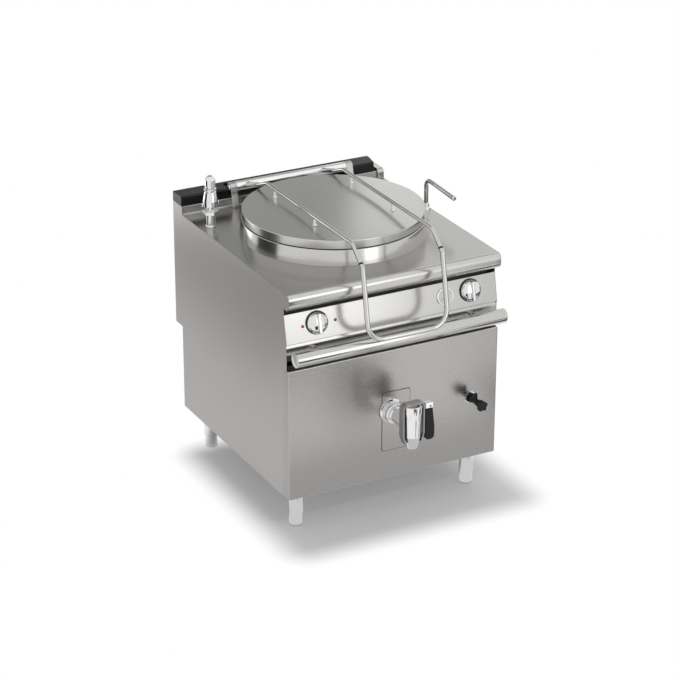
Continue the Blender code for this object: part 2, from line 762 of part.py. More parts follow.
def make_rail():
    """The tube handrail across the front and the posts that hold it."""
    profile = [(0, RAIL_HALF), (RAIL_R - RAIL_EDGE, RAIL_HALF), (RAIL_R, RAIL_HALF - RAIL_EDGE),
               (RAIL_R, RAIL_EDGE - RAIL_HALF), (RAIL_R - RAIL_EDGE, -RAIL_HALF), (0, -RAIL_HALF)]
    turned("handrail", profile, MID_STEPS, POLISHED, (0, RAIL_Y, RAIL_Z), (1, 0, 0))
    for name, x in (("handrail_post_left", -RAIL_POST_X), ("handrail_post_right", RAIL_POST_X)):
        bm = rod_bm((x, STRIP_Y - FIT, RAIL_POST_Z), (x, RAIL_Y, RAIL_POST_Z), RAIL_POST_R,
                    SMALL_STEPS)
        post = add_solid(name, bm, SATIN)
        half = 2 * RAIL_POST_R
        combine(post, rod_bm((x - half, RAIL_Y, RAIL_Z), (x + half, RAIL_Y, RAIL_Z),
                             RAIL_R + FIT, MID_STEPS))


def make_feet():
    """Four sleeves under the base, each with a foot that screws down out of it."""
    sleeve = [(SLEEVE_R, CAB_Z0 - FIT), (SLEEVE_R, SLEEVE_Z0), (SLEEVE_BORE, SLEEVE_Z0),
              (SLEEVE_BORE, CAB_Z0 - SLEEVE_ROOF), (0, CAB_Z0 - SLEEVE_ROOF)]
    foot_top = CAB_Z0 - SLEEVE_ROOF - FIT
    foot = [(0, foot_top), (FOOT_R, foot_top), (FOOT_R, FOOT_EDGE), (FOOT_R - FOOT_EDGE, 0),
            (0, 0)]
    for side, x in (("left", -FOOT_X), ("right", FOOT_X)):
        for end, y in (("front", FOOT_FRONT_Y), ("rear", FOOT_REAR_Y)):
            tag = end + "_" + side
            turned("foot_sleeve_" + tag, [(0, CAB_Z0 - FIT)] + sleeve, SMALL_STEPS, POLISHED,
                   (x, y, 0))
            holder = pivot("foot_axis_" + tag, (x, y, 0))
            turned("foot_" + tag, foot, SMALL_STEPS, POLISHED, (x, y, 0), holder=holder)


def dish(base, depth, reach, radius):
    """Height of a shallow dished bottom at a radius."""
    return base + depth * (radius / reach) ** 2


def dish_points(base, depth, reach, inner, count):
    """Points of a dished bottom from its edge in to an inner radius."""
    points = []
    for index in range(count + 1):
        radius = reach + (inner - reach) * index / count
        points.append((radius, dish(base, depth, reach, radius)))
    return points


def shell_profile(top_z, radius, base, knuckle, wall, hole, steps):
    """A round pot's closed wall section, from its outer rim down and back up inside."""
    reach = radius - knuckle
    outer = [(radius, top_z)]
    outer += arc((reach, base + VESSEL_DISH + knuckle), (knuckle, knuckle), 0, -90, steps)
    outer += dish_points(base, VESSEL_DISH, reach, hole, DISH_STEPS)[1:]
    inner = list(reversed(dish_points(base + wall, VESSEL_DISH, reach, hole, DISH_STEPS)))
    small = knuckle - wall
    inner += arc((reach, base + VESSEL_DISH + knuckle), (small, small), -90, 0, steps)[1:]
    return outer, inner


def make_vessel():
    """The cooking vessel, the steam jacket round it and the collar that carries both."""
    hole = PIPE_R - PIPE_WALL
    outer, inner = shell_profile(COLLAR_Z, VESSEL_R, VESSEL_Z0, VESSEL_KNUCKLE, VESSEL_WALL, hole,
                                 ARC_STEPS)
    inner.append((VESSEL_R - VESSEL_WALL, COLLAR_Z))
    turned("kettle_vessel", outer + inner, BIG_STEPS, POLISHED, (0, KETTLE_Y, 0), closed=True)

    neck = VESSEL_R + FIT
    outer, inner = shell_profile(JACKET_Z1, JACKET_R, JACKET_Z0, JACKET_KNUCKLE, JACKET_WALL,
                                 PIPE_R + FIT, DISH_STEPS)
    inner += [(JACKET_R - JACKET_WALL, JACKET_Z1 - JACKET_WALL), (neck, JACKET_Z1 - JACKET_WALL),
              (neck, JACKET_Z1)]
    turned("steam_jacket", outer + inner, BIG_STEPS, STEEL, (0, KETTLE_Y, 0), closed=True)

    edge = arc((COLLAR_TOP_R - COLLAR_ROUND, COLLAR_Z - COLLAR_ROUND),
               (COLLAR_ROUND, COLLAR_ROUND), 90, 0, 2)
    section = edge + [(COLLAR_BASE_R, TOP_Z + FIT), (COLLAR_BASE_R - COLLAR_WALL, TOP_Z + FIT),
                      (COLLAR_TOP_R - COLLAR_WALL, COLLAR_Z - COLLAR_ROUND),
                      (COLLAR_TOP_R - COLLAR_ROUND, COLLAR_Z - COLLAR_WALL),
                      (neck, COLLAR_Z - COLLAR_WALL), (neck, COLLAR_Z)]
    turned("kettle_collar", section, BIG_STEPS, POLISHED, (0, KETTLE_Y, 0), closed=True)


def lid_height(radius):
    """Height of the lid's outside at a radius."""
    return LID_RIM_Z + LID_CROWN * (1 - (radius / (LID_R - LID_ROUND)) ** 2)


def make_lid():
    """The lid with its gasket, arms, posts and U handle, all turning on the rear tube."""
    axis = pivot("lid_axis", (0, HINGE_Y, HINGE_Z))
    flat = LID_R - LID_ROUND
    count = ARC_STEPS
    top = [(flat * i / count, lid_height(flat * i / count)) for i in range(count + 1)]
    corner = arc((flat, LID_RIM_Z - LID_ROUND), (LID_ROUND, LID_ROUND), 90, 0, 2)[1:]
    under = [(r, z - LID_WALL) for r, z in reversed(top)]
    section = top + corner + [(LID_R, LID_Z0), (LID_R - LID_WALL, LID_Z0),
                              (LID_R - LID_WALL, LID_RIM_Z - LID_ROUND)] + under
    turned("lid", section, BIG_STEPS, POLISHED, (0, KETTLE_Y, 0), holder=axis)

    seat = LID_R - LID_WALL - FIT
    base = COLLAR_Z + FIT
    ring = [(seat, base + GASKET_H), (seat, base), (seat - GASKET_W, base),
            (seat - GASKET_W, base + GASKET_H)]
    turned("lid_gasket", ring, BIG_STEPS, RUBBER, (0, KETTLE_Y, 0), holder=axis, closed=True)

    low = BRACKET_L_X1 + FIT
    high = BRACKET_R_X0 - FIT
    tube = [(HINGE_R, high), (HINGE_R, low), (HINGE_LIP_BORE, low),
            (HINGE_LIP_BORE, low + HINGE_LIP_L), (HINGE_BORE, low + HINGE_LIP_L),
            (HINGE_BORE, high - HINGE_LIP_L), (HINGE_LIP_BORE, high - HINGE_LIP_L),
            (HINGE_LIP_BORE, high)]
    turned("hinge_tube", tube, MID_STEPS, CHROME, (0, HINGE_Y, HINGE_Z), (1, 0, 0), axis, True)

    away = Vector((0, ARM_ROOT_Y - HINGE_Y, ARM_ROOT_Z - HINGE_Z)).normalized()
    root = Vector((0, HINGE_Y, HINGE_Z)) + away * (HINGE_R + FIT)
    front = Vector((0, ARM_FRONT_Y, ARM_Z))
    end = Vector((0, ARM_END_Y, ARM_END_Z))
    ahead = (end - front).normalized()
    line = [root, Vector((0, ARM_ROOT_Y, ARM_ROOT_Z)), Vector((0, ARM_KNEE_Y, ARM_KNEE_Z)),
            Vector((0, ARM_RISE_Y, ARM_Z)), front, end]
    radii = [ARM_BEND_R] * 4
    for side, x in (("left", -ARM_X), ("right", ARM_X)):
        shift = Vector((x, 0, 0))
        path = rounded([point + shift for point in line], radii, ARC_STEPS)
        add_solid("lid_arm_" + side, tube_bm(path, ARM_R, 3), CHROME, axis)
        for end_name, y in (("front", POST_FRONT_Y), ("rear", POST_REAR_Y)):
            reach = math.hypot(x, y - KETTLE_Y) - POST_R
            foot = (x, y, lid_height(reach) + FIT)
            head = (x, y, ARM_Z - ARM_R - FIT)
            bm = rod_bm(foot, head, POST_R, TINY_STEPS)
            add_solid("lid_post_" + end_name + "_" + side, bm, CHROME, axis)

    start = end + ahead * FIT
    neck = start + ahead * HANDLE_SOCKET_L
    leg = [start, neck, Vector((0, HANDLE_MID_Y, HANDLE_MID_Z)),
           Vector((0, HANDLE_LOW_Y, HANDLE_LOW_Z))]
    left = [point + Vector((-ARM_X, 0, 0)) for point in leg]
    right = [point + Vector((ARM_X, 0, 0)) for point in reversed(leg)]
    radii = [HANDLE_NECK_R, HANDLE_LEG_R, HANDLE_CORNER_R,
             HANDLE_CORNER_R, HANDLE_LEG_R, HANDLE_NECK_R]
    path = rounded(left + right, radii, ARC_STEPS)
    add_solid("lid_handle", tube_bm(path, HANDLE_R, 3), CHROME, axis)


def make_hinge():
    """The two brackets on the worktop and the fixed shaft that the hinge tube turns on."""
    back = UPSTAND_Y - FIT
    start = -math.degrees(math.acos((back - HINGE_Y) / HINGE_R))
    eye = arc((HINGE_Y, HINGE_Z), (HINGE_R, HINGE_R), start, 180, 4 * ARC_STEPS)
    outline = [(BRACKET_FOOT_Y0, TOP_Z + FIT), (back, TOP_Z + FIT)] + eye
    for name, x0, x1 in (("hinge_bracket_left", BRACKET_L_X0, BRACKET_L_X1),
                         ("hinge_bracket_right", BRACKET_R_X0, BRACKET_R_X1)):
        bracket = add_solid(name, prism_bm(outline, along_x, x0, x1), POLISHED)
        combine(bracket, rod_bm((x0 - CUT_OVER, HINGE_Y, HINGE_Z),
                                (x1 + CUT_OVER, HINGE_Y, HINGE_Z), SHAFT_R + FIT, SMALL_STEPS))
    add_solid("hinge_shaft", rod_bm((BRACKET_L_X0 + FIT, HINGE_Y, HINGE_Z),
                                    (BRACKET_R_X1 - FIT, HINGE_Y, HINGE_Z), SHAFT_R,
                                    SMALL_STEPS), STEEL)


def make_spout():
    """The swivelling water spout and its fixed base."""
    nut_z = TOP_Z + SPOUT_NUT_H
    base_z = TOP_Z + SPOUT_BASE_H
    section = [(0, nut_z), (SPOUT_NUT_R, nut_z), (SPOUT_NUT_R, base_z), (SPOUT_BASE_R, base_z),
               (SPOUT_BASE_R, TOP_Z + FIT), (SPOUT_SHANK_R, TOP_Z + FIT),
               (SPOUT_SHANK_R, TOP_Z - SPOUT_SHANK_L), (0, TOP_Z - SPOUT_SHANK_L)]
    turned("spout_base", section, SMALL_STEPS, CHROME, (SPOUT_X, SPOUT_Y, 0))
    axis = pivot("spout_axis", (SPOUT_X, SPOUT_Y, nut_z))
    line = [(SPOUT_X, SPOUT_Y, nut_z + FIT), (SPOUT_X, SPOUT_Y, SPOUT_TOP_Z),
            (SPOUT_X, SPOUT_Y - SPOUT_REACH, SPOUT_TOP_Z - SPOUT_DROP)]
    path = rounded(line, [SPOUT_BEND_R], 2 * ARC_STEPS)
    add_solid("spout", tube_bm(path, SPOUT_R, 4), CHROME, axis)


def make_safety_valve():
    """The safety valve: a stem on a pipe from the jacket and a head turned by two wings."""
    place = (VALVE_X, VALVE_Y, 0)
    section = [(0, VALVE_NECK_Z), (VALVE_NECK_R, VALVE_NECK_Z), (VALVE_NECK_R, VALVE_HEX_Z1),
               (VALVE_STEM_R, VALVE_HEX_Z1), (VALVE_STEM_R, TOP_Z + FIT), (0, TOP_Z + FIT)]
    stem = turned("safety_valve_stem", section, SMALL_STEPS, CHROME, place)
    combine(stem, rod_bm((VALVE_X, VALVE_Y, VALVE_HEX_Z0), (VALVE_X, VALVE_Y, VALVE_HEX_Z1 - FIT),
                         VALVE_HEX_R, 6), "UNION")
    flat = Vector((VALVE_X, VALVE_Y - KETTLE_Y, 0))
    start = Vector((0, KETTLE_Y, RISER_Z)) + flat.normalized() * (JACKET_R + FIT)
    line = [start, (VALVE_X, VALVE_Y, RISER_Z), (VALVE_X, VALVE_Y, VALVE_HEX_Z0)]
    combine(stem, tube_bm(rounded(line, [RISER_BEND_R], ARC_STEPS), RISER_R, 4), "UNION")

    axis = pivot("safety_valve_axis", (VALVE_X, VALVE_Y, VALVE_NECK_Z))
    dome = arc((0, VALVE_TOP_Z - VALVE_DOME_H), (VALVE_TOP_R, VALVE_DOME_H), 90, 0, ARC_STEPS)
    wing_low = VALVE_WING_Z - WING_H / 2
    head = dome + [(VALVE_TOP_R, VALVE_BODY_Z), (VALVE_BODY_R, VALVE_BODY_Z),
                   (VALVE_BODY_R, wing_low), (VALVE_NECK_R, wing_low),
                   (VALVE_NECK_R, VALVE_NECK_Z + FIT), (0, VALVE_NECK_Z + FIT)]
    made = turned("safety_valve_head", head, SMALL_STEPS, CHROME, place, holder=axis)
    combine(made, box_bm(VALVE_X - WING_SPAN / 2, VALVE_X + WING_SPAN / 2,
                         VALVE_Y - WING_T / 2, VALVE_Y + WING_T / 2,
                         wing_low + FIT, wing_low + WING_H), "UNION")


def plate_outline(x0, x1, z0, z1, radius):
    """A rectangle with round corners."""
    points = []
    for cx, cz, start in ((x1 - radius, z1 - radius, 0), (x0 + radius, z1 - radius, 90),
                          (x0 + radius, z0 + radius, 180), (x1 - radius, z0 + radius, 270)):
        points += arc((cx, cz), (radius, radius), start, start + 90, 3)
    return points


def make_drain():
    """The drain pipe from the vessel's lowest point, its union and the lever-worked tap."""
    face = -FIT - SHEET
    plate = add_solid("drain_plate", prism_bm(
        plate_outline(DRAIN_PLATE_X0, DRAIN_PLATE_X1, DRAIN_PLATE_Z0, DRAIN_PLATE_Z1,
                      DRAIN_PLATE_R), along_y, face, -FIT), SATIN)
    combine(plate, rod_bm((DRAIN_X, -CUT_OVER, DRAIN_Z), (DRAIN_X, CUT_OVER, DRAIN_Z),
                          DRAIN_HOLE_R, MID_STEPS))

    line = [(0, KETTLE_Y, VESSEL_Z0 - FIT), (0, KETTLE_Y, DRAIN_Z), (DRAIN_X, PIPE_TURN_Y, DRAIN_Z),
            (DRAIN_X, UNION_TAIL + FIT, DRAIN_Z)]
    path = rounded(line, [PIPE_BEND_R, PIPE_TURN_R], ARC_STEPS)
    pipe = add_solid("drain_pipe", tube_bm(path, PIPE_R, 3, capped=False), STEEL)
    solidify(pipe, PIPE_WALL)

    seat = SHEET + 2 * FIT
    ring = [(UNION_NUT_R, UNION_NUT_Y), (UNION_NUT_R, UNION_FACE), (UNION_R, UNION_FACE),
            (UNION_R, seat), (PIPE_R, seat), (PIPE_R, -UNION_TAIL), (UNION_BORE, -UNION_TAIL),
            (UNION_BORE, UNION_NUT_Y)]
    turned("drain_union", ring, MID_STEPS, CHROME, (DRAIN_X, 0, DRAIN_Z), (0, -1, 0), closed=True)

    section = [(0, TAP_TOP_Z - TAP_CUP_D), (TAP_CUP_R, TAP_TOP_Z - TAP_CUP_D),
               (TAP_CUP_R, TAP_TOP_Z), (TAP_R, TAP_TOP_Z), (TAP_R, LEVER_Z - LEVER_BLOCK_H),
               (TAP_TAPER_R, TAP_TAPER_Z), (TAP_OUTLET_R, TAP_OUTLET_Z),
               (TAP_BORE, TAP_OUTLET_Z), (TAP_BORE, TAP_BORE_Z), (0, TAP_BORE_Z)]
    body = turned("tap_body", section, MID_STEPS, CHROME, (DRAIN_X, TAP_Y, 0))
    combine(body, rod_bm((DRAIN_X, TAP_Y, DRAIN_Z), (DRAIN_X, -UNION_NUT_Y - FIT, DRAIN_Z),
                         TAP_NECK_R, MID_STEPS), "UNION")
    pin_end = DRAIN_X + TAP_R - LEVER_PIN_IN
    yoke_x = DRAIN_X + YOKE_HALF
    combine(body, rod_bm((pin_end - FIT, TAP_Y, LEVER_Z), (yoke_x, TAP_Y, LEVER_Z),
                         LEVER_PIN_BORE, SMALL_STEPS))

    half = YOKE_HALF
    inner = YOKE_HALF - YOKE_T
    share = (YOKE_FOOT_Z - TAP_OUTLET_Z) / (TAP_TAPER_Z - TAP_OUTLET_Z)
    seat_r = TAP_OUTLET_R + (TAP_TAPER_R - TAP_OUTLET_R) * share + 2 * FIT
    knee = YOKE_FOOT_Z + YOKE_TAPER_H
    small = YOKE_ROUND - YOKE_T
    roof = YOKE_Z - YOKE_ROUND
    outline = [(seat_r, YOKE_FOOT_Z), (seat_r + YOKE_T, YOKE_FOOT_Z), (half, knee)]
    outline += arc((half - YOKE_ROUND, roof), (YOKE_ROUND, YOKE_ROUND), 0, 90, ARC_STEPS)
    outline += arc((YOKE_ROUND - half, roof), (YOKE_ROUND, YOKE_ROUND), 90, 180, ARC_STEPS)
    outline += [(-half, knee), (-seat_r - YOKE_T, YOKE_FOOT_Z), (-seat_r, YOKE_FOOT_Z),
                (-inner, knee)]
    outline += arc((small - inner, roof), (small, small), 180, 90, ARC_STEPS)
    outline += arc((inner - small, roof), (small, small), 90, 0, ARC_STEPS)
    outline += [(inner, knee)]
    outline = [(x + DRAIN_X, z) for x, z in outline]
    yoke = add_solid("tap_yoke", prism_bm(outline, along_y, TAP_Y - YOKE_W / 2,
                                          TAP_Y + YOKE_W / 2), CHROME)
    combine(yoke, rod_bm((DRAIN_X + inner - CUT_OVER / 2, TAP_Y, LEVER_Z),
                         (yoke_x + CUT_OVER / 2, TAP_Y, LEVER_Z), LEVER_PIN_BORE, SMALL_STEPS))

    axis = pivot("tap_lever_axis", (yoke_x, TAP_Y, LEVER_Z))
    x0 = yoke_x + LEVER_STANDOFF
    block = add_solid("tap_lever", box_bm(x0, x0 + LEVER_BLOCK_W, TAP_Y - LEVER_BLOCK_D / 2,
                                          TAP_Y + LEVER_BLOCK_D / 2, LEVER_Z - LEVER_BLOCK_H / 2,
                                          LEVER_Z + LEVER_BLOCK_H / 2), CHROME, axis)
    bevel(block, LEVER_STANDOFF, 2)
    combine(block, rod_bm((pin_end, TAP_Y, LEVER_Z), (x0 + LEVER_BLOCK_W / 2, TAP_Y, LEVER_Z),
                          LEVER_PIN_R, SMALL_STEPS), "UNION")
    top = LEVER_Z - LEVER_BLOCK_H / 2 - FIT
    grip = [(x0, top), (x0, GRIP_Z0), (x0 + GRIP_LOW_W, GRIP_Z0), (x0 + GRIP_TOP_W, top)]
    made = add_solid("tap_grip", prism_bm(grip, along_y, TAP_Y - GRIP_D / 2, TAP_Y + GRIP_D / 2),
                     PLASTIC, axis)
    bevel(made, GRIP_ROUND, 2)


def make_cock():
    """The jacket's drain cock with its lobed knob, and its pipe from the jacket."""
    section = [(0, COCK_BODY_Y), (COCK_BODY_R, COCK_BODY_Y), (COCK_BODY_R, COCK_NUT_T),
               (COCK_NUT_R, COCK_NUT_T), (COCK_NUT_R, FIT), (COCK_TAIL_R, FIT),
               (COCK_TAIL_R, -COCK_TAIL_Y), (0, -COCK_TAIL_Y)]
    body = turned("cock_body", section, SMALL_STEPS, PLASTIC, (COCK_X, 0, COCK_Z), (0, -1, 0))
    combine(body, rod_bm((COCK_X, -COCK_VENT_Y, COCK_Z),
                         (COCK_X, -COCK_VENT_Y, COCK_Z + COCK_VENT_H), COCK_VENT_R,
                         SMALL_STEPS), "UNION")
    axis = pivot("cock_knob_axis", (COCK_X, -COCK_BODY_Y, COCK_Z))
    middle = (COCK_KNOB_R + COCK_KNOB_WAIST) / 2
    swing = (COCK_KNOB_R - COCK_KNOB_WAIST) / 2
    count = 8 * COCK_LOBES
    outline = []
    for index in range(count):
        angle = 2 * math.pi * index / count
        radius = middle + swing * math.cos(COCK_LOBES * angle)
        outline.append((COCK_X + radius * math.sin(angle), COCK_Z + radius * math.cos(angle)))
    front = -COCK_BODY_Y - FIT
    add_solid("cock_knob", prism_bm(outline, along_y, front - COCK_KNOB_T, front), PLASTIC, axis)

    reach = JACKET_R - JACKET_KNUCKLE
    under = dish(JACKET_Z0, VESSEL_DISH, reach, COCK_PIPE_X - COCK_TAIL_R) - FIT
    line = [(COCK_PIPE_X, KETTLE_Y, under), (COCK_PIPE_X, KETTLE_Y, COCK_Z),
            (COCK_X, PIPE_TURN_Y, COCK_Z), (COCK_X, COCK_TAIL_Y + FIT, COCK_Z)]
    path = rounded(line, [COCK_PIPE_BEND_R] * 2, ARC_STEPS)
    add_solid("condensate_pipe", tube_bm(path, COCK_TAIL_R, 2), STEEL)


def panel_turned(name, profile, steps, finish, x, z, holder=ROOT, closed=False):
    """A turned piece whose axis stands square on the control panel."""
    return turned(name, profile, steps, finish, on_panel(x, z), OUT, holder, closed)


def make_controls():
    """Two knobs with their switches, a round gauge and two lamps."""
    back = -SHEET - FIT
    for side, x in (("left", KNOB_LEFT_X), ("right", KNOB_RIGHT_X)):
        bezel = [(KNOB_BEZEL_R, KNOB_BEZEL_T), (KNOB_BEZEL_R, FIT), (KNOB_BEZEL_BORE, FIT),
                 (KNOB_BEZEL_BORE, KNOB_BEZEL_T)]
        panel_turned("knob_bezel_" + side, bezel, MID_STEPS, PLASTIC, x, KNOB_Z, closed=True)
        switch = [(SWITCH_R, back), (SWITCH_R, back - SWITCH_D),
                  (KNOB_SPINDLE_BORE, back - SWITCH_D), (KNOB_SPINDLE_BORE, back)]
        panel_turned("switch_" + side, switch, TINY_STEPS, PLASTIC, x, KNOB_Z, closed=True)
        seat = KNOB_BEZEL_T + FIT
        holder = pivot("knob_axis_" + side, on_panel(x, KNOB_Z))
        shoulder = seat + KNOB_SIDE_H
        cap = arc((0, shoulder), (KNOB_R - KNOB_EDGE, KNOB_DOME_H - KNOB_SIDE_H), 90, 0,
                  ARC_STEPS)
        section = cap + [(KNOB_R, shoulder - KNOB_EDGE), (KNOB_R, seat), (KNOB_SPINDLE_R, seat),
                         (KNOB_SPINDLE_R, -KNOB_SPINDLE_L), (0, -KNOB_SPINDLE_L)]
        knob = panel_turned("knob_" + side, section, MID_STEPS, CHROME, x, KNOB_Z, holder)
        ridge = box_bm(-KNOB_GRIP_W / 2, KNOB_GRIP_W / 2, -KNOB_R * KNOB_GRIP_SHARE,
                       KNOB_R * KNOB_GRIP_SHARE, seat + FIT, KNOB_GRIP_H)
        turn = Matrix((Vector((1, 0, 0)), LEAN, OUT)).transposed()
        bmesh.ops.rotate(ridge, matrix=turn, verts=ridge.verts)
        bmesh.ops.translate(ridge, vec=on_panel(x, KNOB_Z), verts=ridge.verts)
        combine(knob, ridge, "UNION")

    dial_h = GAUGE_BEZEL_T - GAUGE_FACE_IN
    dial_r = GAUGE_R - GAUGE_RIM_W
    gauge = [(0, dial_h), (dial_r, dial_h), (dial_r, GAUGE_BEZEL_T), (GAUGE_R, GAUGE_BEZEL_T),
             (GAUGE_R, FIT), (GAUGE_CASE_R, FIT), (GAUGE_CASE_R, -GAUGE_CASE_D),
             (0, -GAUGE_CASE_D)]
    panel_turned("pressure_gauge", gauge, MID_STEPS, DIAL, GAUGE_X, GAUGE_Z)

    lens = arc((0, FIT), (LAMP_R, LAMP_T), 90, 0, 3)
    lamp = lens + [(LAMP_BODY_R, FIT), (LAMP_BODY_R, -LAMP_BODY_D), (0, -LAMP_BODY_D)]
    panel_turned("lamp_left", lamp, TINY_STEPS, RED, LAMP_LEFT_X, LAMP_Z)
    panel_turned("lamp_right", lamp, TINY_STEPS, RED, LAMP_RIGHT_X, LAMP_Z)


def shade():
    """Smooth the round pieces between their sharp edges, with each modifier's shape kept."""
    for made in KETTLE.objects:
        if made.type == "MESH":
            made.data.shade_smooth()
            made.data.set_sharp_from_angle(angle=math.radians(35))


make_cabinet()
make_rail()
make_feet()
make_vessel()
make_lid()
make_hinge()
make_spout()
make_safety_valve()
make_drain()
make_cock()
make_controls()
shade()
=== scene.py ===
"""Steam jacketed kettle: the smooth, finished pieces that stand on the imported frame.

Laid out as an add-on: sizes and colours in property groups, one operator for each group of
pieces, one for the stage, and a panel that lists them. Metres, +Z up. Pieces are drawn from the
front panel's face (y = 0) and are moved to the frame's place when they are finished. Lines whose
names end in _MM are corners in millimetres: (across, along, rounding in fitting edges).
"""
import json
import math

import bmesh
import bpy
from bpy.props import FloatProperty, FloatVectorProperty, IntProperty, PointerProperty
from mathutils import Matrix, Vector


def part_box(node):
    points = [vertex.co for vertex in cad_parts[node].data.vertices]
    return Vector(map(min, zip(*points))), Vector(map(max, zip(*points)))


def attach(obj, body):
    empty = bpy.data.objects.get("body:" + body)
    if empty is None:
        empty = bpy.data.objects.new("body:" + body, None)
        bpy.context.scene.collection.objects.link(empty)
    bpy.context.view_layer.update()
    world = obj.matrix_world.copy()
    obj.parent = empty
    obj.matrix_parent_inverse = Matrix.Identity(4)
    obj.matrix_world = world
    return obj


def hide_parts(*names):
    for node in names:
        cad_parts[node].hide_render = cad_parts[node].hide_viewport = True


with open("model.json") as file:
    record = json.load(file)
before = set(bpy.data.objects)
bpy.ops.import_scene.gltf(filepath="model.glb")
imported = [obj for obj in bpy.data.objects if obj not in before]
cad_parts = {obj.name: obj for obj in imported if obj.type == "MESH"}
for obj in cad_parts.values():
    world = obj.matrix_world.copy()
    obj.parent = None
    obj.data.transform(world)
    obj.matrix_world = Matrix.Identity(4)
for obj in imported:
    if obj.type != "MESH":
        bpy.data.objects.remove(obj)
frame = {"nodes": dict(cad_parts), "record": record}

bl_info = {
    "name": "Steam Jacketed Kettle",
    "version": (1, 0, 0),
    "blender": (4, 5, 0),
    "location": "View3D > Sidebar > Kettle",
    "description": "Builds the finished pieces of a steam jacketed kettle and its studio",
    "category": "Object",
}

# Places taken from the frame
FRONT_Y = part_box("front_panel")[0].y
HALF_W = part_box("front_panel")[1].x
BASE_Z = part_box("front_panel")[0].z
DOOR_TOP_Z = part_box("front_panel")[1].z
REAR_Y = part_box("rear_panel")[1].y - FRONT_Y
LOW_REAR_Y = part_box("base_pan")[1].y - FRONT_Y
TOP_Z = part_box("worktop")[1].z

# Sheet and clearances, the same as the frame's
SHEET = 0.0015
FIT = 0.0003
SEAM = 0.0003
CLOSE = 0.00001
INNER_X = HALF_W - SHEET - FIT
REAR_STEP_Z = 0.4505
DOOR_DEPTH = 0.044
RECESS_EDGE_Y = 0.012
RECESS_BACK_Y = 0.076
SHARP = 35

# Worktop nose and control panel
NOSE_OUT = 0.008
NOSE_TOP_Y = 0.011
NOSE_TOP_H = 0.020
NOSE_LOW_H = 0.0245
NOSE_H = 0.0545
NOSE_RETURN_Y = 0.030
NOSE_Z = TOP_Z - NOSE_H
WORKTOP_SPREAD = 2.4
PANEL_TOP = (0.0305, 0.8035)
PANEL_LOW = (0.010, 0.702)
STRIP_Y = 0.014
STRIP_Z1 = 0.697
STRIP_Z0 = 0.664
STRIP_ROLL_D = 0.0045
STRIP_ROLL_H = 0.009
STRIP_ROLL_R = 0.020
STRIP_LIP_H = 0.002

# Rear upstand and flue cover
UPSTAND_FACE_Y = 0.8136
UPSTAND_Z = 0.912
FLUE_Z = 0.947
FLUE_STRIP_D = 0.017
FLUE_BLOCK_Y = 0.818
FLUE_ROUND = 0.007
FLUE_LEFT_END_X = -0.216
FLUE_RIGHT_X = 0.272
FLUE_RIGHT_FRONT_X = 0.362
END_X0 = 0.372
END_Y0 = 0.806
END_Z = 0.921
END_ROUND = 0.014

# Handrail and feet
RAIL_R = 0.0255
RAIL_Y = -0.0424
RAIL_Z = 0.671
RAIL_HALF = 0.396
RAIL_POST_R = 0.0095
RAIL_POST_Z = 0.6745
RAIL_POST_X = 0.300
FOOT_X = 0.335
FOOT_FRONT_Y = 0.080
FOOT_REAR_Y = 0.750
SLEEVE_R = 0.0255
SLEEVE_BORE = 0.0230
SLEEVE_Z0 = 0.045
SLEEVE_ROOF = 0.004
FOOT_R = 0.0225

# Kettle
KETTLE_Y = 0.4413
VESSEL_R = 0.3025
VESSEL_WALL = 0.0025
VESSEL_Z0 = 0.470
VESSEL_KNUCKLE = 0.060
VESSEL_DISH = 0.030
COLLAR_BASE_R = 0.324
COLLAR_TOP_R = 0.3165
COLLAR_Z = 0.937
COLLAR_WALL = 0.0020
HOLE_R = 0.3190
LID_R = 0.3146
LID_Z0 = 0.9405
LID_RIM_Z = 0.970
LID_CROWN = 0.0160
LID_WALL = 0.0020
GASKET_W = 0.009
GASKET_H = 0.009
GASKET_ROUND = 0.002
DRAIN_HOLE = 0.024

# Lid gear
HINGE_Y = 0.820
HINGE_Z = 0.950
HINGE_R = 0.017
SHAFT_R = 0.0062
BRACKETS = (("left", -0.2150, -0.1900), ("right", 0.2430, 0.2690))
BRACKET_FOOT_Y0 = 0.7870
HINGE_GROOVE_X = 0.2335
HINGE_GROOVE_D = 0.0012
SHAFT_CAP_MM = ((0, 3.2), (8.5, 3.2, 1.2), (9.5, 0), (0, 0))
ARM_X = 0.149
ARM_R = 0.0068
ARM_LINE = ((0.777, 0.967), (0.712, 0.985), (0.650, 1.010), (0.030, 1.010), (-0.035, 0.957))
ARM_BEND_R = 0.045
LUG_HALF = 0.0072
LUG_W = 0.0135
LUG_ROUND = 0.003
LUG_LOW = 0.003
LUG_SHORT = 0.012
LUG_SCREW_IN = 0.009
LUG_SCREW_MM = ((0, 2.2), (2.6, 2.2, 0.6), (3.6, 0.4), (3.6, 0), (0, 0))
POST_R = 0.0048
POST_FOOT_R = 1.7 * POST_R
POST_FRONT_Y = 0.295
POST_REAR_Y = 0.593
FERRULE_L = 0.0060
FERRULE_ROUND = 0.0006
FERRULE_BACK = 0.0062
HANDLE_R = 0.0084
HANDLE_SOCKET_L = 0.012
HANDLE_LINE = ((-0.066, 0.840), (-0.090, 0.705))
HANDLE_BENDS = (0.020, 0.200, 0.058)

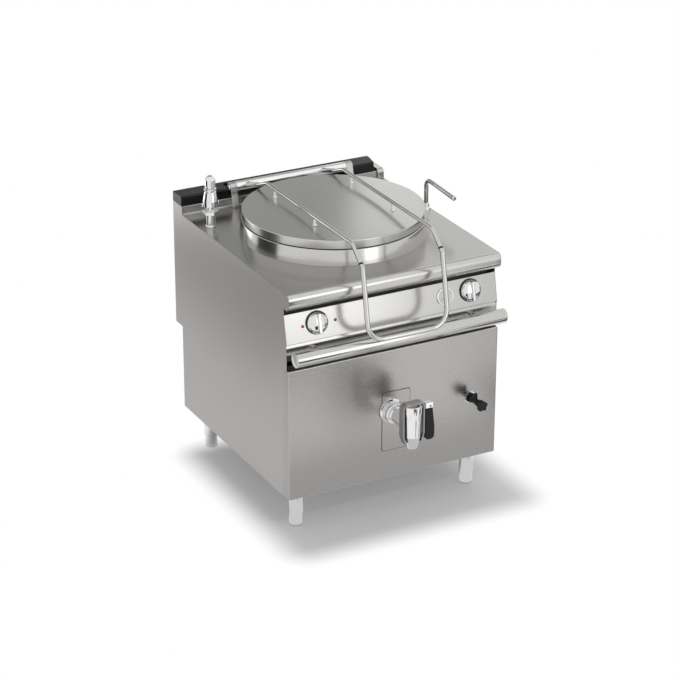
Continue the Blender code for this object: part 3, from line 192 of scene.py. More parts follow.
# Spout, its lines measured from the worktop and from the tube's radius and mouth
SPOUT_X = 0.378
SPOUT_Y = 0.465
SPOUT_R = 0.0077
SPOUT_NUT_H = 0.026
SPOUT_NUT_MM = ((0, 26), (10, 26, 1), (11.5, 24, 0.5), (11.5, 12, 0.5), (16, 10, 2), (16, 0.3),
                (8, 0.3), (8, -45), (0, -45))
SPOUT_TOP_Z = 0.998
SPOUT_REACH = 0.192
SPOUT_DROP = 0.010
SPOUT_BEND_R = 0.028
SPOUT_TIP_IN = 0.0024
SPOUT_TIP_MM = ((0, -0.2), (5.5, -0.2), (5.5, 2.2), (8.5, 2.2, 0.6), (8.5, -10, 0.8), (7.5, -10))

# Safety valve, its lines measured up from the worktop
VALVE_X = -0.3565
VALVE_Y = 0.670
VALVE_HEX_R = 0.0285
VALVE_HEX_H = 0.0125
VALVE_HEX_Z = 0.9355
VALVE_STEM_MM = (
    (0, 64), (12.5, 64), (12.5, 60), (19.5, 58), (19.5, 48), (16.5, 46, 0.5), (16.5, 8, 1),
    (18.5, 4, 1), (18.5, 0.3), (11, 0.3), (11, -182), (0, -182))
VALVE_HEAD_MM = (
    (0, 185), (9, 185, 4), (18.5, 173, 6), (18.5, 148, 1), (16, 147), (16, 142.5, 0.5),
    (21.5, 140.5, 1), (21.5, 135.5, 1), (17.2, 134, 0.5), (17.2, 130.5, 0.5), (20, 128, 1),
    (26.2, 96, 3), (26.2, 76.5, 1.5), (12.5, 76.5, 1), (12.5, 64.3), (0, 64.3))
WING_Z0 = 0.9585
WING_H = 0.015
WING_HALF = 0.033
WING_HALF_T = 0.0035

# Drain tap
DRAIN_X = -0.015
DRAIN_Z = 0.391
PLATE_X = (-0.047, 0.058)
PLATE_Z = (0.242, 0.458)
PLATE_ROUND = 0.008
SEAL_SPREAD = 0.0016
SEAL_T = 0.0008
UNION_MM = (
    (25.5, 40), (33, 40, 1), (36, 37, 1), (36, 25, 1), (34.5, 24, 0.5), (34.5, 21, 0.5),
    (36, 20, 1), (36, 10, 1.5), (44, 8.5, 2), (44, 2.1), (26, 2.1), (26, -10), (24, -10), (24, 38))
TAP_Y = -0.147
TAP_R = 0.0335
TAP_BODY_MM = (
    (0, 468), (24.5, 468, 1), (28.5, 473, 1), (33.5, 473, 1.5), (33.5, 448, 6), (31.2, 428, 8),
    (29, 360, 6), (18.5, 316, 1), (16.5, 316, 0.5), (16.5, 360), (0, 360))
TAP_NECK_MM = ((0, 0), (25.5, 0), (25.5, 97, 1), (29, 99, 1), (29, 106.7, 1), (0, 106.7))
YOKE_HALF = 0.0415
YOKE_T = 0.0060
YOKE_W = 0.0280
YOKE_Z = 0.4820
YOKE_FOOT_Z = 0.336
YOKE_FOOT_X = 0.0260
YOKE_KNEE_Z = 0.366
YOKE_LIP_R = 0.002
YOKE_KNEE_R = 0.020
YOKE_INNER_R = 0.016
YOKE_ROOF_R = 0.018
LEVER_Z = 0.4580
LEVER_BLOCK = (0.0300, 0.0240, 0.0260)
LEVER_STANDOFF = 0.0030
LEVER_PIN_R = 0.005
LEVER_PIN_IN = 0.012
LEVER_SCREW_SHARE = 0.62
LEVER_SCREW_MM = ((0, 1.2), (3, 1.2, 0.5), (3, -1), (0, -1))
GRIP_LAP = 0.006
GRIP_Z0 = 0.337
GRIP_D = 0.0280
GRIP_EDGE = 0.006
GRIP_MM = ((0, 113.7, 2), (0, 0, 12), (34, 0, 13), (34.5, 45, 80), (26, 113.7, 2))

# Drain cock, its lines measured out from the front panel
COCK_X = 0.296
COCK_Z = 0.370
COCK_BODY_Y = 0.070
COCK_VENT_Y = 0.038
COCK_NUT_R = 0.019
COCK_NUT_T = 0.0077
COCK_NUT_Y = -0.0048
COCK_BODY_MM = (
    (0, 70), (8.5, 70), (8.5, 62, 0.5), (12, 60, 1), (12, 50, 1), (10.5, 48, 0.5), (10.5, 26, 0.5),
    (12, 24, 1), (12, 8), (9, 8), (9, -30), (0, -30))
COCK_VENT_MM = ((0, 0), (6, 0), (6, 24, 0.5), (4.8, 25), (4.8, 30, 1), (0, 30))
COCK_WASHER_MM = ((10, 0.9), (20.5, 0.9, 0.3), (20.5, 0.3), (10, 0.3))
COCK_BOSS_MM = ((0, 1), (7, 1, 0.6), (8, 0), (0, 0))
COCK_KNOB_T = 0.0170
COCK_KNOB_R = 0.01775
COCK_LOBE_H = 0.00225
COCK_LOBES = 5

# Controls, their lines measured out from the leaning panel
KNOB_X = (-0.283, 0.298)
KNOB_Z = 0.759
BEZEL_R = 0.0400
BEZEL_T = 0.0050
BEZEL_BORE = 0.0120
KNOB_R = 0.0378
KNOB_SIDE_H = 0.0050
KNOB_DOME_H = 0.0230
KNOB_GRIP_W = 0.0130
KNOB_GRIP_H = 0.0300
KNOB_GRIP_SHARE = 0.92
KNOB_GRIP_TAPER = (0.82, 0.97, 1)
SPINDLE_R = 0.0050
SPINDLE_L = 0.0200
GAUGE_X = 0.2006
GAUGE_Z = 0.755
GAUGE_RIM_MM = ((31.5, 0.3), (31.5, 4.5, 1.5), (28.5, 4.5, 0.5), (27.7, 2.7), (27.7, 0.3))
DIAL_MM = ((0, 2.5), (28.3, 2.5), (28.3, -26), (0, -26))
DIAL_OUT = 0.0025
MARK_COUNT = 21
MARK_TURN = 13.5
MARK_FIRST = 135
MARK_R = 0.0248
MARK_LONG = 0.0042
MARK_SHORT = 0.0024
MARK_HALF_W = 0.00028
MARK_H = 0.00012
NEEDLE = ((-0.0006, 0.0006), (-0.0060, 0.0200), (0.0004, 0.0009))
NEEDLE_TURN = 120
HUB_MM = ((0, 1.4), (2.4, 1.4, 0.4), (2.4, 0), (0, 0))
LAMP_X = (-0.3347, -0.2144)
LAMP_Z = 0.755
LAMP_R = 0.0054
LAMP_DOME_Z = 0.0012
LAMP_DOME_H = 0.0018
LAMP_SHANK_R = 0.0045
LAMP_SHANK_L = 0.022

# Finishes that several pieces wear, each with its slot
CHROME = ("chrome plate", "chrome")
CASTING = ("chrome plated casting", "chrome")
ROD = ("polished stainless rod", "chrome")
BLACK = ("black phenolic plastic", "black_plastic")
TUBE = ("polished stainless tube", "polished_steel")
SPUN = ("spun polished stainless", "polished_steel")
RUBBER = ("silicone gasket", "rubber")
BRIGHT = ("bright satin stainless", "satin_steel")

LEAN = Vector((0, PANEL_TOP[0] - PANEL_LOW[0], PANEL_TOP[1] - PANEL_LOW[1])).normalized()
OUT = Vector((0, -LEAN.z, LEAN.y))

# Studio: the floor's painted shadow patch round the footprint, where the white surround gives way
# to the grey floor that also takes the lamps' real shadow; the surround, the camera, the lamps and
# the cards.
# A lamp ends with its power and whether metal mirrors it; a card is seen only in reflections.
FLOOR_SHARE = 0.18
FLOOR_MIDDLE = (0.02, -0.06, 0.0)
FLOOR_HALF = (0.39, 0.38, 0.0)
FLOOR_FADE = 0.16
WORLD_FILL = 0.60
CAMERA_PLACE = (-3.7437, -7.0237, 4.0831)
CAMERA_TURN = 0.4875
CAMERA_TILT = 0.4226
CAMERA_ROLL = 0.0018
CAMERA_LENS = 133.40
CAMERA_SENSOR = 36.0
LAMPS = (
    ("overhead softbox", (0.8, 0.5, 2.9), (0.0, 0.1, 0.4), (2.4, 2.4), 20.0, False),
    ("front softbox", (1.0, -3.4, 1.35), (0.0, -0.3, 0.8), (1.1, 2.0), 8.3, True),
    ("front fill softbox", (2.5, -3.4, 1.35), (0.0, -0.3, 0.8), (1.2, 2.0), 8.0, False),
    ("back strip lamp", (-1.07, 2.37, 0.5), (0.0, 0.0, 0.8), (1.4, 1.0), 7.5, True),
)
FLAGS = (
    ("back_flag", (-0.1, 2.1, 2.2), (0, -1, 0), (2.6, 2.6), "AEAEAE"),
    ("ceiling_flag", (0.0, 1.6, 3.6), (0, 0, -1), (5.0, 2.0), "B4B4B4"),
    ("left_flag", (-1.77, 0.66, 0.65), (1, -0.4, 0), (1.05, 1.3), "303030"),
    ("right_flag", (1.70, 0.10, 0.35), (-1, 0, 0), (1.6, 0.7), "303030"),
    ("front_flag", (0.0, -1.60, 0.25), (0, 1, 0), (0.5, 0.5), "303030"),
    ("floor_flag", (0.15, -0.66, 0.012), (0, 0, 1), (1.2, 0.44), "CACACA"),
    ("foot_card", (-0.08, -0.36, 0.006), (0, 0, 1), (1.1, 0.28), "E0E0E0"),
    ("tap_card", (0.95, -0.85, 0.012), (0, 0, 1), (0.4, 0.5), "404040"),
    ("right_card", (1.90, -1.20, 0.012), (0, 0, 1), (1.3, 1.9), "6C6C6C"),
    ("tap_flag", (0.22, -1.10, 0.15), (0, 1, 0), (0.13, 0.3), "303030"),
    ("side_flag", (-1.0, 1.50, 0.25), (1, 0, 0), (1.9, 0.5), "ACACAC"),
)


def linear(code):
    """A colour written as sRGB hex, as linear red, green and blue."""
    parts = [int(code[i:i + 2], 16) / 255 for i in (0, 2, 4)]
    return tuple(c / 12.92 if c <= 0.04045 else ((c + 0.055) / 1.055) ** 2.4 for c in parts)


def dulled(shade, share):
    """A colour with each channel at a share of its strength."""
    return tuple(share * channel for channel in shade)


def colour(name, code, what):
    """A colour property with its default."""
    return FloatVectorProperty(name=name, description=what, subtype="COLOR", size=3, min=0, max=1,
                               default=linear(code))


def length(name, what, default, low, high):
    """A length property with its default and limits."""
    return FloatProperty(name=name, description=what, default=default, min=low, max=high,
                         unit="LENGTH")


class KettleSizes(bpy.types.PropertyGroup):
    """Sizes that a user may change without leaving the frame's own shapes."""

    sheet_edge: length("Sheet edge", "Rounding on the cut edges of sheet panels",
                       0.0005, 0.0001, 0.0007)
    panel_fold: length("Panel fold", "Radius of the folds in the control panel",
                       0.0020, 0.0005, 0.0030)
    door_edge: length("Front panel edge", "Radius round the front panel's face",
                      0.0040, 0.0010, 0.0060)
    rim_round: length("Lid rim", "Radius where the lid's top meets its rim",
                      0.0040, 0.0010, 0.0050)
    collar_round: length("Collar rim", "Radius round the top of the kettle's collar",
                         0.0030, 0.0010, 0.0040)
    fitting_edge: length("Fitting edge", "Radius on the edges of turned and cast fittings",
                         0.0010, 0.0003, 0.0015)
    round_steps: IntProperty(
        name="Steps round the kettle", description="Faces round the lid, collar and vessel",
        default=192, min=48, max=384)
    fitting_steps: IntProperty(
        name="Steps round a fitting", description="Faces round the smaller turned pieces",
        default=64, min=24, max=128)


class KettleColours(bpy.types.PropertyGroup):
    """Colours of the real finishes, and of the gap sheet whose dark colour is painted shade."""

    satin: colour("Satin stainless", "B8B6B4", "Brushed sheet of the housing")
    polished: colour("Polished stainless", "C6C5C2", "Lid, collar, handrail, arms and handle")
    chrome: colour("Chrome", "F2F2F2", "Plated fittings")
    enamel: colour("Black enamel", "100F0F", "Flue cover")
    plastic: colour("Black plastic", "131213", "Grip, cock and knob rings")
    # Painted shade: the gap sheet's dark colour stands for the shade in the recesses behind the
    # gaps.
    gap: colour("Shadow gap sheet", "686664", "Dark sheet behind the gaps")
    rubber: colour("Gasket", "2C2B2A", "Silicone gasket under the lid")
    lamp: colour("Lamp lens", "D0383F", "Pilot lamps")
    dial: colour("Dial", "F6F6F4", "Gauge dial")
    dull: colour("Pickled stainless", "8F8F8F", "Pieces inside the housing")
    floor: colour("Floor", "CACACA", "Studio floor")


def mm(corners, edge=0.001):
    """The corners of an _MM line in metres, with their roundings at a fitting's edge size."""
    return [(a / 1000, b / 1000, *(share * edge for share in rest)) for a, b, *rest in corners]


def arc(centre, radii, start, end, steps=8):
    """Points on part of an ellipse, angles in degrees."""
    points = []
    for index in range(steps + 1):
        angle = math.radians(start + (end - start) * index / steps)
        points.append((centre[0] + radii[0] * math.cos(angle),
                       centre[1] + radii[1] * math.sin(angle)))
    return points


def softened(points, closed=False, steps=5):
    """A flat line through (a, b) or (a, b, radius) corners; those with a radius become arcs."""
    line = []
    count = len(points)
    for index, point in enumerate(points):
        corner = Vector(point[:2])
        radius = point[2] if len(point) > 2 else 0
        if radius <= 0 or (not closed and index in (0, count - 1)):
            line.append(tuple(corner))
            continue
        back = (Vector(points[index - 1][:2]) - corner).normalized()
        ahead = (Vector(points[(index + 1) % count][:2]) - corner).normalized()
        half = back.angle(ahead) / 2
        reach = radius / math.tan(half)
        centre = corner + (back + ahead).normalized() * (radius / math.sin(half))
        first = corner + back * reach - centre
        last = corner + ahead * reach - centre
        start = math.atan2(first.y, first.x)
        sweep = math.remainder(math.atan2(last.y, last.x) - start, math.tau)
        line += arc(centre, (radius, radius), math.degrees(start), math.degrees(start + sweep),
                    steps)
    return line


def only(items, kind):
    """The vertices or the edges among a bmesh operator's results."""
    return [item for item in items if isinstance(item, kind)]


def grow(bm, edges, step):
    """Extrudes edges, moves the new ones by a step and gives back what was made."""
    made = bmesh.ops.extrude_edge_only(bm, edges=edges)["geom"]
    bmesh.ops.translate(bm, vec=step, verts=only(made, bmesh.types.BMVert))
    return made


def laid(bm, turn, place):
    """Turns a shape about the origin, then moves it to its place."""
    bmesh.ops.rotate(bm, cent=(0, 0, 0), matrix=turn, verts=bm.verts)
    bmesh.ops.translate(bm, vec=place, verts=bm.verts)
    return bm


def upright_to(axis):
    """The turn that takes +Z to an axis."""
    return Vector((0, 0, 1)).rotation_difference(Vector(axis)).to_matrix()


def turned(profile, steps, centre=(0, 0, 0), axis=(0, 0, 1), closed=False):
    """A line of (radius, height) spun about an axis through the centre."""
    bm = bmesh.new()
    verts = [bm.verts.new((radius, 0, height)) for radius, height in profile]
    pairs = list(zip(verts, verts[1:]))
    if closed:
        pairs.append((verts[-1], verts[0]))
    edges = [bm.edges.new(pair) for pair in pairs]
    bmesh.ops.spin(bm, geom=verts + edges, cent=(0, 0, 0), axis=(0, 0, 1), dvec=(0, 0, 0),
                   angle=math.tau, steps=steps, use_merge=True, use_duplicate=False)
    bmesh.ops.remove_doubles(bm, verts=bm.verts, dist=CLOSE)
    bmesh.ops.recalc_face_normals(bm, faces=bm.faces)
    return laid(bm, upright_to(axis), centre)


def lathed(corners, steps, centre=(0, 0, 0), axis=(0, 0, 1), closed=False, bend_steps=5):
    """A softened line of (radius, height) corners, turned."""
    return turned(softened(corners, closed, bend_steps), steps, centre, axis, closed)


def plate(outline, low, high, axis):
    """A flat outline carried along an axis from low to high, as a closed solid."""
    lay = {"X": lambda a, b, c: Vector((c, a, b)), "Y": lambda a, b, c: Vector((a, c, b)),
           "Z": lambda a, b, c: Vector((a, b, c))}[axis]
    bm = bmesh.new()
    face = bm.faces.new([bm.verts.new(lay(a, b, low)) for a, b in outline])
    lifted = bmesh.ops.extrude_face_region(bm, geom=[face])["geom"]
    bmesh.ops.translate(bm, vec=lay(0, 0, high - low), verts=only(lifted, bmesh.types.BMVert))
    bmesh.ops.recalc_face_normals(bm, faces=bm.faces)
    return bm


def folded(line, x0, x1):
    """A line of (y, z) drawn out along X as an open sheet."""
    bm = bmesh.new()
    verts = [bm.verts.new((x0, y, z)) for y, z in line]
    grow(bm, [bm.edges.new(pair) for pair in zip(verts, verts[1:])], (x1 - x0, 0, 0))
    return bm


def face_towards(bm, direction, near):
    """Turns an open sheet so that its face nearest a point looks in a direction."""
    bmesh.ops.recalc_face_normals(bm, faces=bm.faces)
    bm.normal_update()
    nearest = min(bm.faces, key=lambda face: (face.calc_center_median() - Vector(near)).length)
    if nearest.normal.dot(Vector(direction)) < 0:
        bmesh.ops.reverse_faces(bm, faces=bm.faces)
    return bm


def block(x, y, z):
    """A box between pairs of ends."""
    bm = bmesh.new()
    bmesh.ops.create_cube(bm, size=1)
    bmesh.ops.scale(bm, vec=(x[1] - x[0], y[1] - y[0], z[1] - z[0]), verts=bm.verts)
    bmesh.ops.translate(bm, vec=Vector((sum(x), sum(y), sum(z))) / 2, verts=bm.verts)
    return bm


def bent_rod(corners, bends, radius, around=24, per_bend=12):
    """A round bar through its corners, each bend spun about its own centre."""
    corners = [Vector(corner) for corner in corners]
    bm = bmesh.new()
    bmesh.ops.create_circle(bm, cap_ends=False, segments=around, radius=radius)
    laid(bm, upright_to((corners[1] - corners[0]).normalized()), corners[0])
    last = bm.edges[:]
    here = corners[0]
    for before, corner, after, bend in zip(corners, corners[1:], corners[2:], bends):
        back = (before - corner).normalized()
        ahead = (after - corner).normalized()
        half = back.angle(ahead) / 2
        reach = bend / math.tan(half)
        made = grow(bm, last, corner + back * reach - here)
        last = [edge for edge in only(made, bmesh.types.BMEdge) if edge.is_boundary]
        centre = corner + (back + ahead).normalized() * (bend / math.sin(half))
        spin = bmesh.ops.spin(bm, geom=last, cent=centre, axis=(-back).cross(ahead).normalized(),
                              dvec=(0, 0, 0), angle=math.pi - 2 * half, steps=per_bend,
                              use_merge=False, use_duplicate=False)
        last = only(spin["geom_last"], bmesh.types.BMEdge)
        here = corner + ahead * reach
    grow(bm, last, corners[-1] - here)
    bmesh.ops.holes_fill(bm, edges=[edge for edge in bm.edges if edge.is_boundary], sides=0)
    bmesh.ops.recalc_face_normals(bm, faces=bm.faces)
    return bm


def rod(start, end, radius, around=32):
    """A straight bar between two points, round or with few sides, such as a hexagon."""
    start, end = Vector(start), Vector(end)
    bm = bmesh.new()
    bmesh.ops.create_cone(bm, cap_ends=True, segments=around, radius1=radius, radius2=radius,
                          depth=(end - start).length)
    return laid(bm, upright_to(end - start), (start + end) / 2)


def round_edges(bm, radius, segments=3, angle=SHARP):
    """Rounds every edge that is sharper than the angle."""
    bm.normal_update()
    sharp = [edge for edge in bm.edges
             if len(edge.link_faces) == 2 and edge.calc_face_angle() > math.radians(angle)]
    bmesh.ops.bevel(bm, geom=sharp, offset=radius, offset_type="OFFSET", segments=segments,
                    profile=0.5, affect="EDGES", clamp_overlap=True, material=-1)
    return bm


def joined(parts):
    """Several shapes gathered into one."""
    whole = parts[0]
    for part in parts[1:]:
        shape = bpy.data.meshes.new("part")
        part.to_mesh(shape)
        part.free()
        whole.from_mesh(shape)
        bpy.data.meshes.remove(shape)
    return whole


def made_object(name, bm, finish):
    """An object made of a shape, with one material."""
    mesh = bpy.data.meshes.new(name)
    bm.to_mesh(mesh)
    bm.free()
    mesh.materials.append(bpy.data.materials[finish])
    made = bpy.data.objects.new(name, mesh)
    bpy.context.scene.collection.objects.link(made)
    return made


def finished(name, bm, body, finish, slot, node=None, wall=0.0, edge=0.0, angle=SHARP, flat=False):
    """Makes a piece of a shape: its finish, wall and edges, its body and its frame node."""
    bmesh.ops.translate(bm, vec=(0, FRONT_Y, 0), verts=bm.verts)
    piece = made_object(name, bm, finish)
    piece.data.shade_smooth()
    if not edge:
        piece.data.set_sharp_from_angle(angle=math.radians(angle))
    if wall:
        sheet = piece.modifiers.new("wall", "SOLIDIFY")
        sheet.thickness = wall
        sheet.offset = -1
        sheet.use_even_offset = True
    if edge:
        rounding = piece.modifiers.new("edges", "BEVEL")
        rounding.width = edge
        rounding.segments = 3
        rounding.limit_method = "ANGLE"
        rounding.angle_limit = math.radians(angle)
    if edge or flat:
        weighted = piece.modifiers.new("flat faces", "WEIGHTED_NORMAL")
        weighted.keep_sharp = True
    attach(piece, body)
    if node:
        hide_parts(node)


def on_panel(x, z, out=0.0):
    """A point on the control panel's leaning face, or that far in front of it."""
    share = (z - PANEL_LOW[1]) / (PANEL_TOP[1] - PANEL_LOW[1])
    y = PANEL_LOW[0] + (PANEL_TOP[0] - PANEL_LOW[0]) * share
    return Vector((x, y, z)) + OUT * out


def nose_line(steps=14):
    """The worktop's oval front edge in (y, z), from its top to its underside."""
    out = NOSE_TOP_Y + NOSE_OUT
    top = arc((NOSE_TOP_Y, TOP_Z - NOSE_TOP_H), (out, NOSE_TOP_H), 90, 180, steps)
    low = arc((NOSE_TOP_Y, NOSE_Z + NOSE_LOW_H), (out, NOSE_LOW_H), 180, 270, steps)
    return top + low


def lid_height(radius):
    """Height of the lid's outside at a radius."""
    flat = LID_R - bpy.context.scene.kettle_sizes.rim_round
    return LID_RIM_Z + LID_CROWN * (1 - (radius / flat) ** 2)


def add_node(tree, kind, settings=None, values=None, links=None):
    """Adds a node, sets its settings and socket values, and links its inputs, each from a
    socket or from a node's first output."""
    node = tree.nodes.new(kind)
    for key, value in (settings or {}).items():
        setattr(node, key, value)
    for key, value in (values or {}).items():
        node.inputs[key].default_value = value
    for key, source in (links or {}).items():
        tree.links.new(getattr(source, "outputs", (source,))[0], node.inputs[key])
    return node


def principled(name, base, roughness, metallic=0.0, **constants):
    """A new material with its shader set: its tree, its shader and its object coordinates."""
    made = bpy.data.materials.new(name)
    made.use_nodes = True
    tree = made.node_tree
    shader = tree.nodes["Principled BSDF"]
    shader.inputs["Base Color"].default_value = (*base, 1)
    shader.inputs["Roughness"].default_value = roughness
    shader.inputs["Metallic"].default_value = metallic
    for key, value in constants.items():
        shader.inputs[key.replace("_", " ")].default_value = value
    made.diffuse_color = (*base, 1)
    return tree, shader, add_node(tree, "ShaderNodeTexCoord").outputs["Object"]


def patterned(shader, rough=None, relief=None, tint=None):
    """Lets patterns drive a shader: roughness as (pattern, its low, its high, roughness there
    and there), relief as (pattern, strength, depth), colour as (pattern, one, other)."""
    tree = shader.id_data
    if rough:
        values = dict(zip(("From Min", "From Max", "To Min", "To Max"), rough[1:]))
        spread = add_node(tree, "ShaderNodeMapRange", values=values, links={"Value": rough[0]})
        tree.links.new(spread.outputs["Result"], shader.inputs["Roughness"])
    if relief:
        bump = add_node(tree, "ShaderNodeBump", links={"Height": relief[0]},
                        values={"Strength": relief[1], "Distance": relief[2]})
        tree.links.new(bump.outputs["Normal"], shader.inputs["Normal"])
    if tint:
        mix = add_node(tree, "ShaderNodeMix", {"data_type": "RGBA"},
                       {6: (*tint[1], 1), 7: (*tint[2], 1)}, {0: tint[0]})
        tree.links.new(mix.outputs[2], shader.inputs["Base Color"])


def brushed(name, base, along, roughness, streak=0.0016, length=0.16, depth=0.00002):
    """Stainless sheet brushed along one axis with a fine belt, then wiped clean. The eye gets
    soft reflections drawn out across the brushing, and faint marks left by the cloth.
    The real scratches are about 0.1 mm apart; they are drawn 1.6 mm apart or more, to show."""
    tree, shader, place = principled(name, base, roughness, 1.0)
    scale = tuple(1 / length if axis == along else 1 / streak for axis in "XYZ")
    spread = add_node(tree, "ShaderNodeMapping", None, {"Scale": scale}, {"Vector": place})
    scratch = add_node(tree, "ShaderNodeTexNoise", None,
                       {"Scale": 1.0, "Detail": 3.0, "Roughness": 0.6}, {"Vector": spread})
    wiped = add_node(tree, "ShaderNodeTexNoise", None,
                     {"Scale": 7.0, "Detail": 2.0, "Distortion": 0.6}, {"Vector": place})
    worn = add_node(tree, "ShaderNodeMath", {"operation": "MULTIPLY_ADD"}, {1: 0.5},
                    {0: wiped, 2: scratch})
    patterned(shader, (worn, 0.35, 1.15, roughness - 0.03, roughness + 0.03),
              (scratch, 0.04, depth), (scratch, dulled(base, 0.97), base))


def toned(name, axis, edge, gain):
    """Scales the colour beyond an edge of a sheet: a painted highlight on a rolled nose,
    painted shade on a flank. The eye gets a step in brightness there."""
    tree = bpy.data.materials[name].node_tree
    base = tree.nodes["Principled BSDF"].inputs["Base Color"]
    place = add_node(tree, "ShaderNodeTexCoord").outputs["Object"]
    apart = add_node(tree, "ShaderNodeSeparateXYZ", links={"Vector": place})
    share = add_node(tree, "ShaderNodeMapRange", None,
                     {"From Min": edge[0], "From Max": edge[1], "To Min": gain, "To Max": 1.0},
                     {"Value": apart.outputs[axis]})
    scaled = add_node(tree, "ShaderNodeVectorMath", {"operation": "SCALE"},
                      links={0: base.links[0].from_socket, "Scale": share})
    tree.links.new(scaled.outputs["Vector"], base)


def spun(name, base, roughness, ring=0.0015):
    """Polished stainless that was turned on a lathe. The eye gets very fine rings about the
    kettle's centre and a long, soft-edged reflection. The rings are drawn 1.5 mm apart."""
    tree, shader, place = principled(name, base, roughness, 1.0)
    centred = add_node(tree, "ShaderNodeMapping", None,
                       {"Location": (0, -KETTLE_Y - FRONT_Y, 0)}, {"Vector": place})
    plan = add_node(tree, "ShaderNodeVectorMath", {"operation": "MULTIPLY"}, {1: (1, 1, 0)},
                    {0: centred})
    reach = add_node(tree, "ShaderNodeVectorMath", {"operation": "LENGTH"}, links={0: plan})
    rings = add_node(tree, "ShaderNodeTexNoise", {"noise_dimensions": "1D"},
                     {"Scale": 1 / ring, "Detail": 3.0, "Roughness": 0.65},
                     {"W": reach.outputs["Value"]})
    wiped = add_node(tree, "ShaderNodeTexNoise", None,
                     {"Scale": 9.0, "Detail": 2.0, "Distortion": 0.8}, {"Vector": place})
    worn = add_node(tree, "ShaderNodeMath", {"operation": "MULTIPLY_ADD"}, {1: 0.7},
                    {0: wiped, 2: rings})
    patterned(shader, (worn, 0.45, 1.25, roughness - 0.03, roughness + 0.03),
              (rings, 0.12, 0.00001))


def plated(name, base, roughness):
    """Chrome over polished brass, or a stainless rod buffed as bright. The eye gets sharp
    reflections, dulled a little where hands leave a film."""
    tree, shader, place = principled(name, base, roughness, 1.0)
    film = add_node(tree, "ShaderNodeTexNoise", None,
                    {"Scale": 45.0, "Detail": 3.0, "Roughness": 0.6}, {"Vector": place})
    patterned(shader, (film, 0.4, 0.7, roughness - 0.02, roughness + 0.05))


def enamelled(name, base, roughness):
    """Black vitreous enamel fired on sheet steel. The eye gets a dark gloss with a slight
    orange peel, 3 mm across."""
    tree, shader, place = principled(name, base, roughness, Specular_IOR_Level=0.3,
                                     Coat_Weight=0.1, Coat_Roughness=0.2)
    peel = add_node(tree, "ShaderNodeTexNoise", None, {"Scale": 330.0, "Detail": 1.0},
                    {"Vector": place})
    soot = add_node(tree, "ShaderNodeTexNoise", None, {"Scale": 14.0, "Detail": 3.0},
                    {"Vector": place})
    patterned(shader, (soot, 0.3, 0.7, roughness - 0.08, roughness + 0.1), (peel, 0.2, 0.0001))


def moulded(name, base, roughness, grain, depth):
    """Moulded plastic or rubber with a spark-eroded grain, or thick matt paint. The eye gets a
    soft, slightly speckled sheen and patches a little paler from handling."""
    tree, shader, place = principled(name, base, roughness, Specular_IOR_Level=0.3)
    speck = add_node(tree, "ShaderNodeTexVoronoi", None, {"Scale": 1 / grain}, {"Vector": place})
    handled = add_node(tree, "ShaderNodeTexNoise", None, {"Scale": 60.0, "Detail": 3.0},
                       {"Vector": place})
    pale = tuple(c * 1.7 + 0.003 for c in base)
    patterned(shader, (handled, 0.35, 0.65, roughness - 0.07, roughness + 0.07),
              (speck, 0.3, depth), (handled, base, pale))


def lens(name, base):
    """Red acrylic pilot-lamp lens, ribbed inside every 1.2 mm. The eye gets a clear red with
    a lighter middle."""
    tree, shader, place = principled(name, base, 0.15, Coat_Weight=0.6, Coat_Roughness=0.05,
                                     Subsurface_Weight=0.25, Subsurface_Scale=0.003,
                                     Subsurface_Radius=(1.0, 0.2, 0.2))
    ribs = add_node(tree, "ShaderNodeTexWave", {"wave_type": "BANDS", "bands_direction": "X"},
                    {"Scale": 260.0, "Distortion": 0.3}, {"Vector": place})
    patterned(shader, tint=(ribs.outputs["Fac"], dulled(base, 0.8), base))


def printed_dial(name, base):
    """Screen-printed aluminium dial under a flat window. The eye gets an even off-white with a
    faint mottle."""
    tree, shader, place = principled(name, base, 0.4, Coat_Weight=1.0, Coat_Roughness=0.02)
    mottle = add_node(tree, "ShaderNodeTexNoise", None, {"Scale": 220.0, "Detail": 2.0},
                      {"Vector": place})
    patterned(shader, tint=(mottle, dulled(base, 0.94), base))


def ray_share(tree):
    """One on rays from the camera, off metal or through glass, and zero on falling light."""
    path = add_node(tree, "ShaderNodeLightPath")
    seen = path.outputs["Is Camera Ray"]
    for ray in ("Is Glossy Ray", "Is Transmission Ray"):
        seen = add_node(tree, "ShaderNodeMath", {"operation": "MAXIMUM"},
                        links={0: seen, 1: path.outputs[ray]})
    return seen


